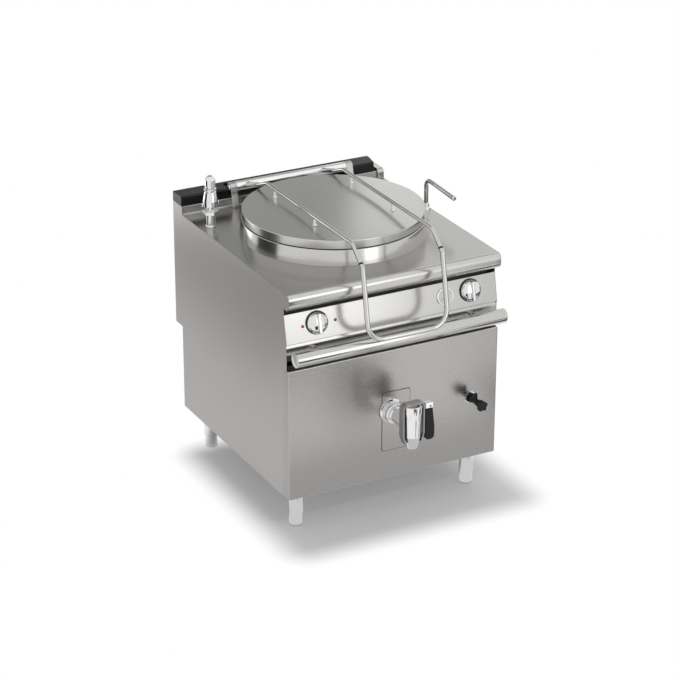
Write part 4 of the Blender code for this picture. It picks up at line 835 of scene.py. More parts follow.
class KETTLE_OT_finishes(bpy.types.Operator):
    """Mixes the finishes of the real kettle and lays them on the frame's own pieces"""

    bl_idname = "kettle.finishes"
    bl_label = "Finishes"

    def execute(self, context):
        """Make each material, then give every frame piece the one for its slot."""
        c = context.scene.kettle_colours
        satin, polished, chrome = tuple(c.satin), tuple(c.polished), tuple(c.chrome)
        brushed("satin stainless brushed across", satin, "X", 0.27)
        # Painted shade: this copy of the satin sheet is painted at 0.8 of its colour, for the side
        # panels and the tap's strap.
        brushed("satin stainless brushed upright", dulled(satin, 0.80), "Z", 0.30)
        brushed("bright satin stainless", dulled(polished, 0.90), "X", 0.22)
        brushed("worktop satin stainless", dulled(polished, 0.80), "X", 0.22)
        brushed("polished stainless tube", polished, "X", 0.16, depth=0.00001)
        brushed("upright polished tube", polished, "Z", 0.16, depth=0.00001)
        brushed("pickled stainless", tuple(c.dull), "Z", 0.42, streak=0.004)
        spun("spun polished stainless", polished, 0.17)
        spun("spun satin stainless", polished, 0.25)
        plated("chrome plate", chrome, 0.06)
        plated("polished stainless rod", polished, 0.07)
        plated("satin chrome plate", dulled(chrome, 0.92), 0.15)
        plated("chrome plated casting", dulled(chrome, 0.84), 0.08)
        nose = FRONT_Y + NOSE_TOP_Y
        # Painted highlight: the worktop's rolled nose is painted 1.3 times brighter than the rest
        # of its sheet.
        toned("worktop satin stainless", "Y", (nose - 0.006, nose + 0.008), 1.3)
        # Painted shade: the front panel's left flank is painted at 0.72 of its colour.
        toned("satin stainless brushed across", "X", (-HALF_W + 0.0005, -HALF_W + 0.0015), 0.72)
        enamelled("black vitreous enamel", tuple(c.enamel), 0.34)
        moulded("black phenolic plastic", tuple(c.plastic), 0.36, 0.0009, 0.00004)
        # Painted shade on the sheet behind the gaps; the dial marks wear the same dark paint as
        # print.
        moulded("painted gap sheet", tuple(c.gap), 0.55, 0.0012, 0.00003)
        moulded("silicone gasket", tuple(c.rubber), 0.6, 0.0015, 0.00003)
        lens("red acrylic lens", tuple(c.lamp))
        printed_dial("printed dial", tuple(c.dial))
        worn_by = {
            "satin_steel": "satin stainless brushed across",
            "polished_steel": "polished stainless tube",
            "chrome": "chrome plate",
            "black_enamel": "black vitreous enamel",
            # The sheet behind the gaps gets the painted shade.
            "dark_sheet": "painted gap sheet",
            "black_plastic": "black phenolic plastic",
            "rubber": "silicone gasket",
            "red_lens": "red acrylic lens",
            "gauge_face": "printed dial",
            "plain_steel": "pickled stainless",
        }
        slots = {row["node"]: row["material_slot"] for row in frame["record"]["subparts"]}
        for name, node in frame["nodes"].items():
            finish = bpy.data.materials[worn_by[slots[name]]]
            if not node.data.materials:
                node.data.materials.append(finish)
            for holder in node.material_slots:
                holder.material = finish
        return {"FINISHED"}


class Builder:
    """What the operators for pieces share."""

    def execute(self, context):
        """Build the pieces at the scene's sizes."""
        s = context.scene.kettle_sizes
        self.build(s, s.fitting_edge, s.fitting_steps)
        return {"FINISHED"}


class KETTLE_OT_housing(Builder, bpy.types.Operator):
    """Builds the side panels, the front panel, the worktop and the control panel"""

    bl_idname = "kettle.housing"
    bl_label = "Housing"

    def build(self, s, edge, steps):
        """Fold and round each sheet."""
        outline = [(UPSTAND_FACE_Y, TOP_Z)] + nose_line()
        outline += [(NOSE_RETURN_Y, NOSE_Z), PANEL_TOP, PANEL_LOW, (STRIP_Y, STRIP_Z1),
                    (STRIP_Y, STRIP_Z0), (RECESS_EDGE_Y, STRIP_Z0),
                    (RECESS_EDGE_Y, DOOR_TOP_Z + FIT), (DOOR_DEPTH + SEAM, DOOR_TOP_Z + FIT),
                    (DOOR_DEPTH + SEAM, BASE_Z), (LOW_REAR_Y, BASE_Z),
                    (LOW_REAR_Y, REAR_STEP_Z), (REAR_Y, REAR_STEP_Z), (REAR_Y, UPSTAND_Z),
                    (UPSTAND_FACE_Y, UPSTAND_Z)]
        # The side panels wear the satin sheet with painted shade.
        for side, x0 in (("left", -HALF_W), ("right", HALF_W - SHEET)):
            finished("side_sheet_" + side, plate(outline, x0, x0 + SHEET, "X"), "housing",
                     "satin stainless brushed upright", "satin_steel", "side_panel_" + side,
                     edge=s.sheet_edge)

        bm = block((-HALF_W, HALF_W), (0, DOOR_DEPTH), (BASE_Z, DOOR_TOP_Z))
        bm.normal_update()
        back = [face for face in bm.faces if face.normal.y > 0.5]
        bmesh.ops.delete(bm, geom=back, context="FACES")
        finished("front_sheet", round_edges(bm, s.door_edge, 5), "housing",
                 "satin stainless brushed across", "satin_steel", "front_panel", wall=SHEET,
                 flat=True)

        bm = bmesh.new()
        bmesh.ops.create_circle(bm, segments=s.round_steps, radius=HOLE_R)
        bmesh.ops.translate(bm, vec=(0, KETTLE_Y, TOP_Z), verts=bm.verts)
        outer = only(grow(bm, bm.edges[:], (0, 0, 0)), bmesh.types.BMVert)
        bmesh.ops.scale(bm, vec=(WORKTOP_SPREAD, WORKTOP_SPREAD, 1), verts=outer,
                        space=Matrix.Translation((0, -KETTLE_Y, 0)))
        for point, normal in (((INNER_X, 0, 0), (1, 0, 0)), ((-INNER_X, 0, 0), (-1, 0, 0)),
                              ((0, UPSTAND_FACE_Y - FIT, 0), (0, 1, 0)),
                              ((0, NOSE_TOP_Y, 0), (0, -1, 0))):
            bmesh.ops.bisect_plane(bm, geom=bm.verts[:] + bm.edges[:] + bm.faces[:], dist=CLOSE,
                                   plane_co=point, plane_no=normal, clear_outer=True)
        front = [item for item in bm.edges
                 if all(abs(v.co.y - NOSE_TOP_Y) < 10 * CLOSE for v in item.verts)]
        line = nose_line() + [(NOSE_RETURN_Y, NOSE_Z)]
        for (y0, z0), (y1, z1) in zip(line, line[1:]):
            made = grow(bm, front, (0, y1 - y0, z1 - z0))
            front = [item for item in only(made, bmesh.types.BMEdge)
                     if all(v in made for v in item.verts)]
        face_towards(bm, (0, 0, 1), (0, KETTLE_Y + COLLAR_BASE_R, TOP_Z))
        finished("worktop_sheet", bm, "housing", "worktop satin stainless", "satin_steel",
                 "worktop", wall=SHEET, flat=True)

        back_y = RECESS_BACK_Y - SHEET - FIT
        line = softened([(back_y, PANEL_TOP[1]), (*PANEL_TOP, s.panel_fold),
                         (*PANEL_LOW, s.panel_fold),
                         (STRIP_Y + STRIP_ROLL_D, STRIP_Z1 + STRIP_LIP_H, edge),
                         (STRIP_Y, STRIP_Z1 - STRIP_ROLL_H, STRIP_ROLL_R),
                         (STRIP_Y, STRIP_Z0, s.panel_fold), (back_y, STRIP_Z0)])
        bm = face_towards(folded(line, -INNER_X, INNER_X), OUT, on_panel(0, KNOB_Z))
        finished("control_sheet", bm, "housing", *BRIGHT, "control_panel", wall=SHEET, flat=True)


class KETTLE_OT_rear(Builder, bpy.types.Operator):
    """Builds the rear upstand with its end piece and the black flue cover"""

    bl_idname = "kettle.rear"
    bl_label = "Rear upstand"

    def build(self, s, edge, steps):
        """Fold the upstand, shape the end piece and the flue cover."""
        cove = 2 * s.panel_fold
        line = softened([(REAR_Y, UPSTAND_Z), (UPSTAND_FACE_Y, UPSTAND_Z, s.panel_fold),
                         (UPSTAND_FACE_Y, TOP_Z + FIT, cove),
                         (UPSTAND_FACE_Y - 1.6 * cove, TOP_Z + FIT)])
        bm = face_towards(folded(line, -INNER_X, INNER_X), (0, -1, 0),
                          (0, UPSTAND_FACE_Y, TOP_Z + 3 * cove))
        finished("upstand_sheet", bm, "housing", *BRIGHT, "rear_upstand", wall=SHEET, flat=True)

        rear = REAR_Y - SHEET - FIT
        outline = softened([(rear, END_Z), (END_Y0, END_Z, END_ROUND), (END_Y0, TOP_Z + FIT),
                            (rear, TOP_Z + FIT)], True, 10)
        finished("upstand_end", plate(outline, END_X0, INNER_X - FIT, "X"), "housing",
                 "polished stainless tube", "satin_steel", edge=2 * edge)

        strip_y = REAR_Y - FLUE_STRIP_D
        plan = [(-HALF_W, FLUE_BLOCK_Y), (FLUE_LEFT_END_X, FLUE_BLOCK_Y),
                (FLUE_LEFT_END_X, strip_y), (FLUE_RIGHT_X, strip_y),
                (FLUE_RIGHT_X, FLUE_BLOCK_Y), (FLUE_RIGHT_FRONT_X, FLUE_BLOCK_Y),
                (END_X0 - FIT, strip_y), (END_X0 - FIT, REAR_Y), (-HALF_W, REAR_Y)]
        bm = plate(plan, UPSTAND_Z + FIT, FLUE_Z, "Z")
        front = [item for item in bm.edges
                 if all(v.co.z > FLUE_Z - CLOSE and v.co.y < FLUE_BLOCK_Y + CLOSE
                        for v in item.verts)]
        bmesh.ops.bevel(bm, geom=front, offset=FLUE_ROUND, offset_type="OFFSET", segments=8,
                        profile=0.5, affect="EDGES", clamp_overlap=False, material=-1)
        finished("flue_cover_enamelled", bm, "housing", "black vitreous enamel", "black_enamel",
                 "flue_cover", edge=edge)


class KETTLE_OT_rail(Builder, bpy.types.Operator):
    """Builds the handrail and its posts"""

    bl_idname = "kettle.rail"
    bl_label = "Handrail"

    def build(self, s, edge, steps):
        """Turn the rail, then turn each post from the rail back to the panel's strip."""
        bm = lathed([(0, RAIL_HALF), (RAIL_R, RAIL_HALF, 1.5 * edge),
                     (RAIL_R, -RAIL_HALF, 1.5 * edge), (0, -RAIL_HALF)],
                    steps, (0, RAIL_Y, RAIL_Z), (1, 0, 0))
        finished("handrail_tube", bm, "housing", *TUBE, "handrail")
        end = STRIP_Y - RAIL_Y
        post = [(0, RAIL_R), (RAIL_POST_R, RAIL_R), (RAIL_POST_R, end - 2 * edge, edge),
                (RAIL_POST_R - edge, end - FIT), (0, end - FIT)]
        for side, x in (("left", -RAIL_POST_X), ("right", RAIL_POST_X)):
            bm = lathed(post, steps // 2, (x, RAIL_Y, RAIL_POST_Z), (0, 1, 0))
            finished("rail_post_" + side, bm, "housing", "polished stainless tube", "satin_steel",
                     "handrail_post_" + side)


class KETTLE_OT_feet(Builder, bpy.types.Operator):
    """Builds the four feet: a sleeve under the base and the foot that screws out of it"""

    bl_idname = "kettle.feet"
    bl_label = "Feet"

    def build(self, s, edge, steps):
        """Turn the sleeves and the feet."""
        roof = BASE_Z - SLEEVE_ROOF
        sleeve = [(0, BASE_Z - FIT), (SLEEVE_R, BASE_Z - FIT), (SLEEVE_R, SLEEVE_Z0, edge),
                  (SLEEVE_BORE, SLEEVE_Z0), (SLEEVE_BORE, roof), (0, roof)]
        foot = [(0, roof - FIT), (FOOT_R, roof - FIT), (FOOT_R, 0, 3 * edge), (0, 0)]
        for side, x in (("left", -FOOT_X), ("right", FOOT_X)):
            for end, y in (("front", FOOT_FRONT_Y), ("rear", FOOT_REAR_Y)):
                tag = end + "_" + side
                for name, line, body, node in (
                        ("sleeve_", sleeve, "housing", "foot_sleeve_"),
                        ("screw_foot_", foot, "foot_body_" + tag, "foot_")):
                    finished(name + tag, lathed(line, steps, (x, y, 0)), body,
                             "chrome plated casting", "polished_steel", node + tag)


class KETTLE_OT_kettle(Builder, bpy.types.Operator):
    """Builds the vessel, the collar round it, the lid and its gasket"""

    bl_idname = "kettle.kettle"
    bl_label = "Kettle and lid"

    def build(self, s, edge, steps):
        """Turn each ring and shell about the kettle's centre."""
        steps = s.round_steps
        centre = (0, KETTLE_Y, 0)
        neck = VESSEL_R + FIT
        section = softened([(neck, COLLAR_Z), (COLLAR_TOP_R, COLLAR_Z, s.collar_round),
                            (COLLAR_BASE_R, TOP_Z + FIT),
                            (COLLAR_BASE_R - COLLAR_WALL, TOP_Z + FIT),
                            (COLLAR_TOP_R - COLLAR_WALL, COLLAR_Z - COLLAR_WALL, edge),
                            (neck, COLLAR_Z - COLLAR_WALL)], True, 6)
        finished("collar_ring", turned(section, steps, centre, closed=True), "housing", *SPUN,
                 "kettle_collar")

        reach = VESSEL_R - VESSEL_KNUCKLE
        bend_z = VESSEL_Z0 + VESSEL_DISH + VESSEL_KNUCKLE
        inside = VESSEL_KNUCKLE - VESSEL_WALL
        radii = [reach + (DRAIN_HOLE - reach) * i / 10 for i in range(11)]
        dish = [(r, VESSEL_Z0 + VESSEL_DISH * (r / reach) ** 2) for r in radii]
        section = [(VESSEL_R, COLLAR_Z)]
        section += arc((reach, bend_z), (VESSEL_KNUCKLE, VESSEL_KNUCKLE), 0, -90, 14)
        section += dish[1:] + [(r, z + VESSEL_WALL) for r, z in reversed(dish)]
        section += arc((reach, bend_z), (inside, inside), -90, 0, 14)[1:]
        section += [(VESSEL_R - VESSEL_WALL, COLLAR_Z)]
        finished("vessel_shell", turned(section, steps, centre, closed=True), "housing", *SPUN,
                 "kettle_vessel")

        rim = s.rim_round
        flat = LID_R - rim
        crown = [(flat * i / 28, lid_height(flat * i / 28)) for i in range(29)]
        section = crown + arc((flat, LID_RIM_Z - rim), (rim, rim), 90, 0, 8)[1:]
        section += [(LID_R, LID_Z0), (LID_R - LID_WALL, LID_Z0),
                    (LID_R - LID_WALL, LID_RIM_Z - rim)]
        section += [(r, z - LID_WALL) for r, z in reversed(crown)]
        finished("lid_shell", turned(section, steps, centre), "lid_assembly",
                 "spun satin stainless", "polished_steel", "lid", angle=50)

        seat = LID_R - LID_WALL - FIT
        base = COLLAR_Z + FIT
        bm = lathed([(seat, base + GASKET_H), (seat, base, GASKET_ROUND),
                     (seat - GASKET_W, base, GASKET_ROUND),
                     (seat - GASKET_W, base + GASKET_H, GASKET_ROUND)],
                    steps, centre, closed=True)
        finished("gasket_ring", bm, "lid_assembly", *RUBBER, "lid_gasket")


class KETTLE_OT_lid_gear(Builder, bpy.types.Operator):
    """Builds the hinge tube and its brackets, the two arms, their posts and the U handle"""

    bl_idname = "kettle.lid_gear"
    bl_label = "Lid arms and handle"

    def build(self, s, edge, steps):
        """Make the hinge, then bend the arms and the handle."""
        x0 = BRACKETS[0][2] + FIT
        x1 = BRACKETS[1][1] - FIT
        groove_r = HINGE_R - HINGE_GROOVE_D
        bm = lathed([(SHAFT_R + FIT, x0), (HINGE_R, x0, edge),
                     (HINGE_R, HINGE_GROOVE_X - 1.5 * edge, edge / 2),
                     (groove_r, HINGE_GROOVE_X - edge), (groove_r, HINGE_GROOVE_X + edge),
                     (HINGE_R, HINGE_GROOVE_X + 1.5 * edge, edge / 2), (HINGE_R, x1, edge),
                     (SHAFT_R + FIT, x1)], steps, (0, HINGE_Y, HINGE_Z), (1, 0, 0))
        finished("hinge_sleeve", bm, "lid_assembly", *CHROME, "hinge_tube")

        back = UPSTAND_FACE_Y - FIT
        start = -math.degrees(math.acos((back - HINGE_Y) / HINGE_R))
        eye = arc((HINGE_Y, HINGE_Z), (HINGE_R, HINGE_R), start, 180, 32)
        outline = [(BRACKET_FOOT_Y0, TOP_Z + FIT), (back, TOP_Z + FIT)] + eye
        for (side, a, b), end, outer in zip(BRACKETS, (BRACKETS[0][1], BRACKETS[1][2]), (-1, 1)):
            finished("bracket_" + side, plate(outline, a, b, "X"), "housing",
                     "upright polished tube", "polished_steel", "hinge_bracket_" + side,
                     edge=1.5 * edge)
            cap = lathed(mm(SHAFT_CAP_MM, edge), steps // 2, (end, HINGE_Y, HINGE_Z),
                         (outer, 0, 0))
            finished("shaft_cap_" + side, cap, "housing", *CHROME)

        axis = Vector((0, HINGE_Y, HINGE_Z))
        line = [Vector((0, y, z)) for y, z in ARM_LINE]
        root = axis + (line[0] - axis).normalized() * (HINGE_R + FIT)
        ahead = (line[-1] - line[-2]).normalized()
        along = (line[1] - line[0]).normalized()
        across = Vector((0, -along.z, along.y))
        low, high = root - along * LUG_LOW, line[1] - along * LUG_SHORT
        flank = [low - across * LUG_HALF, high - across * LUG_HALF, high + across * LUG_HALF,
                 low + across * LUG_HALF]
        lug = softened([(p.y, p.z, LUG_ROUND) for p in flank], True, 4)
        ferrule = [(ARM_R, FERRULE_L), (HANDLE_R, FERRULE_L, FERRULE_ROUND),
                   (HANDLE_R, 0, FERRULE_ROUND), (ARM_R, 0)]
        head = ARM_LINE[2][1] - ARM_R - FIT
        for side, x in (("left", -ARM_X), ("right", ARM_X)):
            shift = Vector((x, 0, 0))
            bm = bent_rod([point + shift for point in [root] + line], [ARM_BEND_R] * 4, ARM_R)
            finished("arm_" + side, round_edges(bm, edge / 3, 2), "lid_assembly", *ROD,
                     "lid_arm_" + side)
            finished("arm_lug_" + side, plate(lug, x - LUG_W / 2, x + LUG_W / 2, "X"),
                     "lid_assembly", *TUBE, edge=1.5 * edge)
            place = low + along * LUG_SCREW_IN - across * LUG_HALF + shift
            finished("lug_screw_" + side, lathed(mm(LUG_SCREW_MM, edge), 20, place, -across),
                     "lid_assembly", *BLACK)
            for end, y in (("front", POST_FRONT_Y), ("rear", POST_REAR_Y)):
                foot = lid_height(math.hypot(x, y - KETTLE_Y) - POST_R) + FIT
                bm = lathed([(0, foot), (POST_FOOT_R, foot),
                             (POST_FOOT_R, foot + 2.2 * edge, 0.8 * edge),
                             (POST_R, foot + 3 * edge, 0.8 * edge), (POST_R, head), (0, head)],
                            32, (x, y, 0))
                finished("post_" + end + "_" + side, bm, "lid_assembly", *CHROME,
                         "lid_post_" + end + "_" + side)
            place = line[-1] - ahead * FERRULE_BACK + shift
            finished("ferrule_" + side, lathed(ferrule, 32, place, ahead, True), "lid_assembly",
                     *BLACK)

        start = line[-1] + ahead * FIT
        leg = [start, start + ahead * HANDLE_SOCKET_L]
        leg += [Vector((0, y, z)) for y, z in HANDLE_LINE]
        corners = [point + Vector((-ARM_X, 0, 0)) for point in leg]
        corners += [point + Vector((ARM_X, 0, 0)) for point in reversed(leg)]
        bm = bent_rod(corners, HANDLE_BENDS + HANDLE_BENDS[::-1], HANDLE_R, 32, 18)
        finished("u_handle", round_edges(bm, edge, 2), "lid_assembly", *ROD, "lid_handle")


class KETTLE_OT_spout(Builder, bpy.types.Operator):
    """Builds the swivel spout and its base"""

    bl_idname = "kettle.spout"
    bl_label = "Spout"

    def build(self, s, edge, steps):
        """Turn the base, then bend the spout and finish its outlet."""
        bm = lathed(mm(SPOUT_NUT_MM, edge), steps, (SPOUT_X, SPOUT_Y, TOP_Z))
        finished("spout_seat", bm, "housing", *CHROME, "spout_base")
        foot = Vector((SPOUT_X, SPOUT_Y, TOP_Z + SPOUT_NUT_H + FIT))
        top = Vector((SPOUT_X, SPOUT_Y, SPOUT_TOP_Z))
        end = Vector((SPOUT_X, SPOUT_Y - SPOUT_REACH, SPOUT_TOP_Z - SPOUT_DROP))
        bm = bent_rod([foot, top, end], [SPOUT_BEND_R], SPOUT_R, 32, 24)
        ahead = (end - top).normalized()
        tip = lathed(mm(SPOUT_TIP_MM, edge), 32, end - ahead * SPOUT_TIP_IN, ahead)
        finished("spout_tube", joined([round_edges(bm, edge / 3, 2), tip]), "spout_body", *ROD,
                 "spout")


class KETTLE_OT_safety_valve(Builder, bpy.types.Operator):
    """Builds the safety valve: its stem with the hexagon, and the head with two wings"""

    bl_idname = "kettle.safety_valve"
    bl_label = "Safety valve"

    def build(self, s, edge, steps):
        """Turn the stem and the head, and add the hexagon and the wings."""
        place = (VALVE_X, VALVE_Y, TOP_Z)
        nut = rod((VALVE_X, VALVE_Y, VALVE_HEX_Z - VALVE_HEX_H / 2),
                  (VALVE_X, VALVE_Y, VALVE_HEX_Z + VALVE_HEX_H / 2), VALVE_HEX_R, 6)
        stem = lathed(mm(VALVE_STEM_MM, edge), steps, place)
        finished("valve_stem", joined([stem, round_edges(nut, edge)]), "housing", *CASTING,
                 "safety_valve_stem", flat=True)
        wing = block((VALVE_X - WING_HALF, VALVE_X + WING_HALF),
                     (VALVE_Y - WING_HALF_T, VALVE_Y + WING_HALF_T),
                     (WING_Z0 + FIT, WING_Z0 + WING_H))
        head = lathed(mm(VALVE_HEAD_MM, edge), steps, place)
        finished("valve_head", joined([head, round_edges(wing, 3 * edge, 4)]), "safety_valve_top",
                 *CASTING, "safety_valve_head", flat=True)


class KETTLE_OT_drain_tap(Builder, bpy.types.Operator):
    """Builds the drain plate, the union, and the lever-worked tap in its strap"""

    bl_idname = "kettle.drain_tap"
    bl_label = "Drain tap"

    def build(self, s, edge, steps):
        """Make the plate and union, then the tap, its strap, lever and grip."""
        for name, wider, near, finish, slot, node in (
                ("drain_seal", SEAL_SPREAD, -SEAL_T, *RUBBER, None),
                ("drain_cover", 0, -SHEET - FIT, "satin stainless brushed across",
                 "satin_steel", "drain_plate")):
            x0, x1, z0, z1 = (PLATE_X[0] - wider, PLATE_X[1] + wider, PLATE_Z[0] - wider,
                              PLATE_Z[1] + wider)
            outline = softened([(x, z, PLATE_ROUND) for x, z in ((x0, z0), (x1, z0), (x1, z1),
                                                                 (x0, z1))], True, 8)
            finished(name, plate(outline, near, -FIT, "Y"), "housing", finish, slot, node,
                     edge=s.sheet_edge if node else 0)

        bm = lathed(mm(UNION_MM, edge), steps, (DRAIN_X, 0, DRAIN_Z), (0, -1, 0), True)
        finished("union_ring", bm, "housing", *CASTING, "drain_union")
        body = lathed(mm(TAP_BODY_MM, edge), steps, (DRAIN_X, TAP_Y, 0))
        neck = lathed(mm(TAP_NECK_MM, edge), steps, (DRAIN_X, TAP_Y, DRAIN_Z), (0, 1, 0))
        finished("tap_casting", joined([body, neck]), "housing", "satin chrome plate", "chrome",
                 "tap_body")

        inner = YOKE_HALF - YOKE_T
        outer = [(YOKE_FOOT_X, YOKE_FOOT_Z), (YOKE_FOOT_X + YOKE_T, YOKE_FOOT_Z, YOKE_LIP_R),
                 (YOKE_HALF, YOKE_KNEE_Z, YOKE_KNEE_R), (YOKE_HALF, YOKE_Z, YOKE_ROOF_R)]
        within = [(inner, YOKE_Z - YOKE_T, YOKE_ROOF_R - YOKE_T),
                  (inner, YOKE_KNEE_Z, YOKE_INNER_R)]
        left = [(-x, *rest) for x, *rest in outer[::-1] + within[::-1]]
        outline = softened(outer + left + within, True, 10)
        outline = [(x + DRAIN_X, z) for x, z in outline]
        # The strap wears the satin sheet with painted shade, darkening the tap's edges.
        finished("tap_strap", plate(outline, TAP_Y - YOKE_W / 2, TAP_Y + YOKE_W / 2, "Y"),
                 "housing", "satin stainless brushed upright", "chrome", "tap_yoke", edge=edge)

        x0 = DRAIN_X + YOKE_HALF + LEVER_STANDOFF
        w, d, h = LEVER_BLOCK
        screw = lathed(mm(LEVER_SCREW_MM, edge), 24,
                       (x0 + LEVER_SCREW_SHARE * w, TAP_Y - d / 2, LEVER_Z + edge), (0, -1, 0))
        finished("lever_screw", screw, "tap_handle", *BLACK)
        bm = block((x0, x0 + w), (TAP_Y - d / 2, TAP_Y + d / 2),
                   (LEVER_Z - h / 2 + GRIP_LAP, LEVER_Z + h / 2))
        pin = rod((DRAIN_X + TAP_R - LEVER_PIN_IN, TAP_Y, LEVER_Z), (x0 + w / 2, TAP_Y, LEVER_Z),
                  LEVER_PIN_R)
        finished("lever_block", joined([round_edges(bm, 2.5 * edge, 4), pin]), "tap_handle",
                 *CHROME, "tap_lever", flat=True)
        outline = softened([(x0 + x, GRIP_Z0 + z, r) for x, z, r in mm(GRIP_MM)], True, 8)
        finished("lever_grip", plate(outline, TAP_Y - GRIP_D / 2, TAP_Y + GRIP_D / 2, "Y"),
                 "tap_handle", *BLACK, "tap_grip", edge=GRIP_EDGE, angle=50)


class KETTLE_OT_cock(Builder, bpy.types.Operator):
    """Builds the jacket's drain cock and its lobed knob"""

    bl_idname = "kettle.cock"
    bl_label = "Drain cock"

    def build(self, s, edge, steps):
        """Make the nut, the body with its vent, and the knob."""
        place = (COCK_X, 0, COCK_Z)
        nut = rod((COCK_X, COCK_NUT_Y + COCK_NUT_T / 2, COCK_Z),
                  (COCK_X, COCK_NUT_Y - COCK_NUT_T / 2, COCK_Z), COCK_NUT_R, 6)
        body = lathed(mm(COCK_BODY_MM, edge), steps, place, (0, -1, 0))
        vent = lathed(mm(COCK_VENT_MM, edge), steps // 2, (COCK_X, -COCK_VENT_Y, COCK_Z))
        finished("cock_casting", joined([body, round_edges(nut, edge), vent]), "housing", *BLACK,
                 "cock_body", flat=True)
        washer = lathed(mm(COCK_WASHER_MM, edge), steps, place, (0, -1, 0), True)
        finished("cock_washer", washer, "housing", *CHROME)

        outline = []
        for index in range(100):
            angle = math.tau * index / 100
            radius = COCK_KNOB_R + COCK_LOBE_H * math.cos(COCK_LOBES * angle)
            outline.append((COCK_X + radius * math.sin(angle), COCK_Z + radius * math.cos(angle)))
        near = -COCK_BODY_Y - FIT
        bm = plate(outline, near - COCK_KNOB_T, near, "Y")
        boss = lathed(mm(COCK_BOSS_MM, edge), 40, (COCK_X, near - COCK_KNOB_T, COCK_Z), (0, -1, 0))
        finished("cock_handwheel", joined([round_edges(bm, 2.5 * edge, 4, 50), boss]),
                 "cock_handle", *BLACK, "cock_knob", flat=True)


class KETTLE_OT_controls(Builder, bpy.types.Operator):
    """Builds the two knobs with their rings, the gauge and the two lamps"""

    bl_idname = "kettle.controls"
    bl_label = "Controls"

    def build(self, s, edge, steps):
        """Turn each piece square to the leaning panel."""
        square = Matrix((Vector((1, 0, 0)), LEAN, OUT)).transposed()
        seat = BEZEL_T + FIT
        shoulder = seat + KNOB_SIDE_H
        bezel = [(BEZEL_R, FIT), (BEZEL_R, BEZEL_T, 2 * edge), (BEZEL_BORE, BEZEL_T),
                 (BEZEL_BORE, FIT)]
        cap = arc((0, shoulder), (KNOB_R - 2.5 * edge, KNOB_DOME_H - shoulder), 90, 12, 12)
        cap += softened([(KNOB_R - 1.6 * edge, shoulder + 1.2 * edge),
                         (KNOB_R - 0.4 * edge, shoulder, edge), (KNOB_R, seat, 0.6 * edge),
                         (SPINDLE_R, seat), (SPINDLE_R, -SPINDLE_L), (0, -SPINDLE_L)])
        for side, x in zip(("left", "right"), KNOB_X):
            place = on_panel(x, KNOB_Z)
            finished("knob_ring_" + side, lathed(bezel, steps, place, OUT, True), "housing",
                     *BLACK, "knob_bezel_" + side)
            knob = turned(cap, steps, place, OUT)
            reach = KNOB_GRIP_SHARE * KNOB_R
            grip = block((-KNOB_GRIP_W / 2, KNOB_GRIP_W / 2), (-reach, reach),
                         (seat + FIT, KNOB_GRIP_H))
            crest = [v for v in grip.verts if v.co.z > KNOB_GRIP_H - CLOSE]
            bmesh.ops.scale(grip, vec=KNOB_GRIP_TAPER, verts=crest)
            laid(round_edges(grip, 3 * edge, 5), square, place)
            finished("knob_cap_" + side, joined([knob, grip]), side + "_knob", *CASTING,
                     "knob_" + side, flat=True)

        place = on_panel(GAUGE_X, GAUGE_Z)
        finished("gauge_rim", lathed(mm(GAUGE_RIM_MM, edge), steps, place, OUT, True), "housing",
                 *CHROME, "pressure_gauge")
        finished("gauge_dial", turned(mm(DIAL_MM), steps, place, OUT), "housing", "printed dial",
                 "gauge_face")
        marks = []
        for index in range(MARK_COUNT):
            turn = Matrix.Rotation(math.radians(MARK_FIRST - MARK_TURN * index), 3, "Z")
            inner = MARK_R - (MARK_LONG if index % 5 == 0 else MARK_SHORT)
            mark = block((-MARK_HALF_W, MARK_HALF_W), (inner, MARK_R), (0, MARK_H))
            marks.append(laid(mark, turn, (0, 0, 0)))
        turn = Matrix.Rotation(math.radians(NEEDLE_TURN), 3, "Z")
        marks += [laid(block(*NEEDLE), turn, (0, 0, 0)), lathed(mm(HUB_MM, edge), 24)]
        marks = laid(joined(marks), square, on_panel(GAUGE_X, GAUGE_Z, DIAL_OUT))
        finished("gauge_marks", marks, "housing", "painted gap sheet", "black_plastic")

        lamp = arc((0, LAMP_DOME_Z), (LAMP_R, LAMP_DOME_H), 90, 0, 8)
        lamp += [(LAMP_R, FIT), (LAMP_SHANK_R, FIT), (LAMP_SHANK_R, -LAMP_SHANK_L),
                 (0, -LAMP_SHANK_L)]
        for side, x in zip(("left", "right"), LAMP_X):
            finished("lamp_lens_" + side, turned(lamp, 40, on_panel(x, LAMP_Z), OUT), "housing",
                     "red acrylic lens", "red_lens", "lamp_" + side)


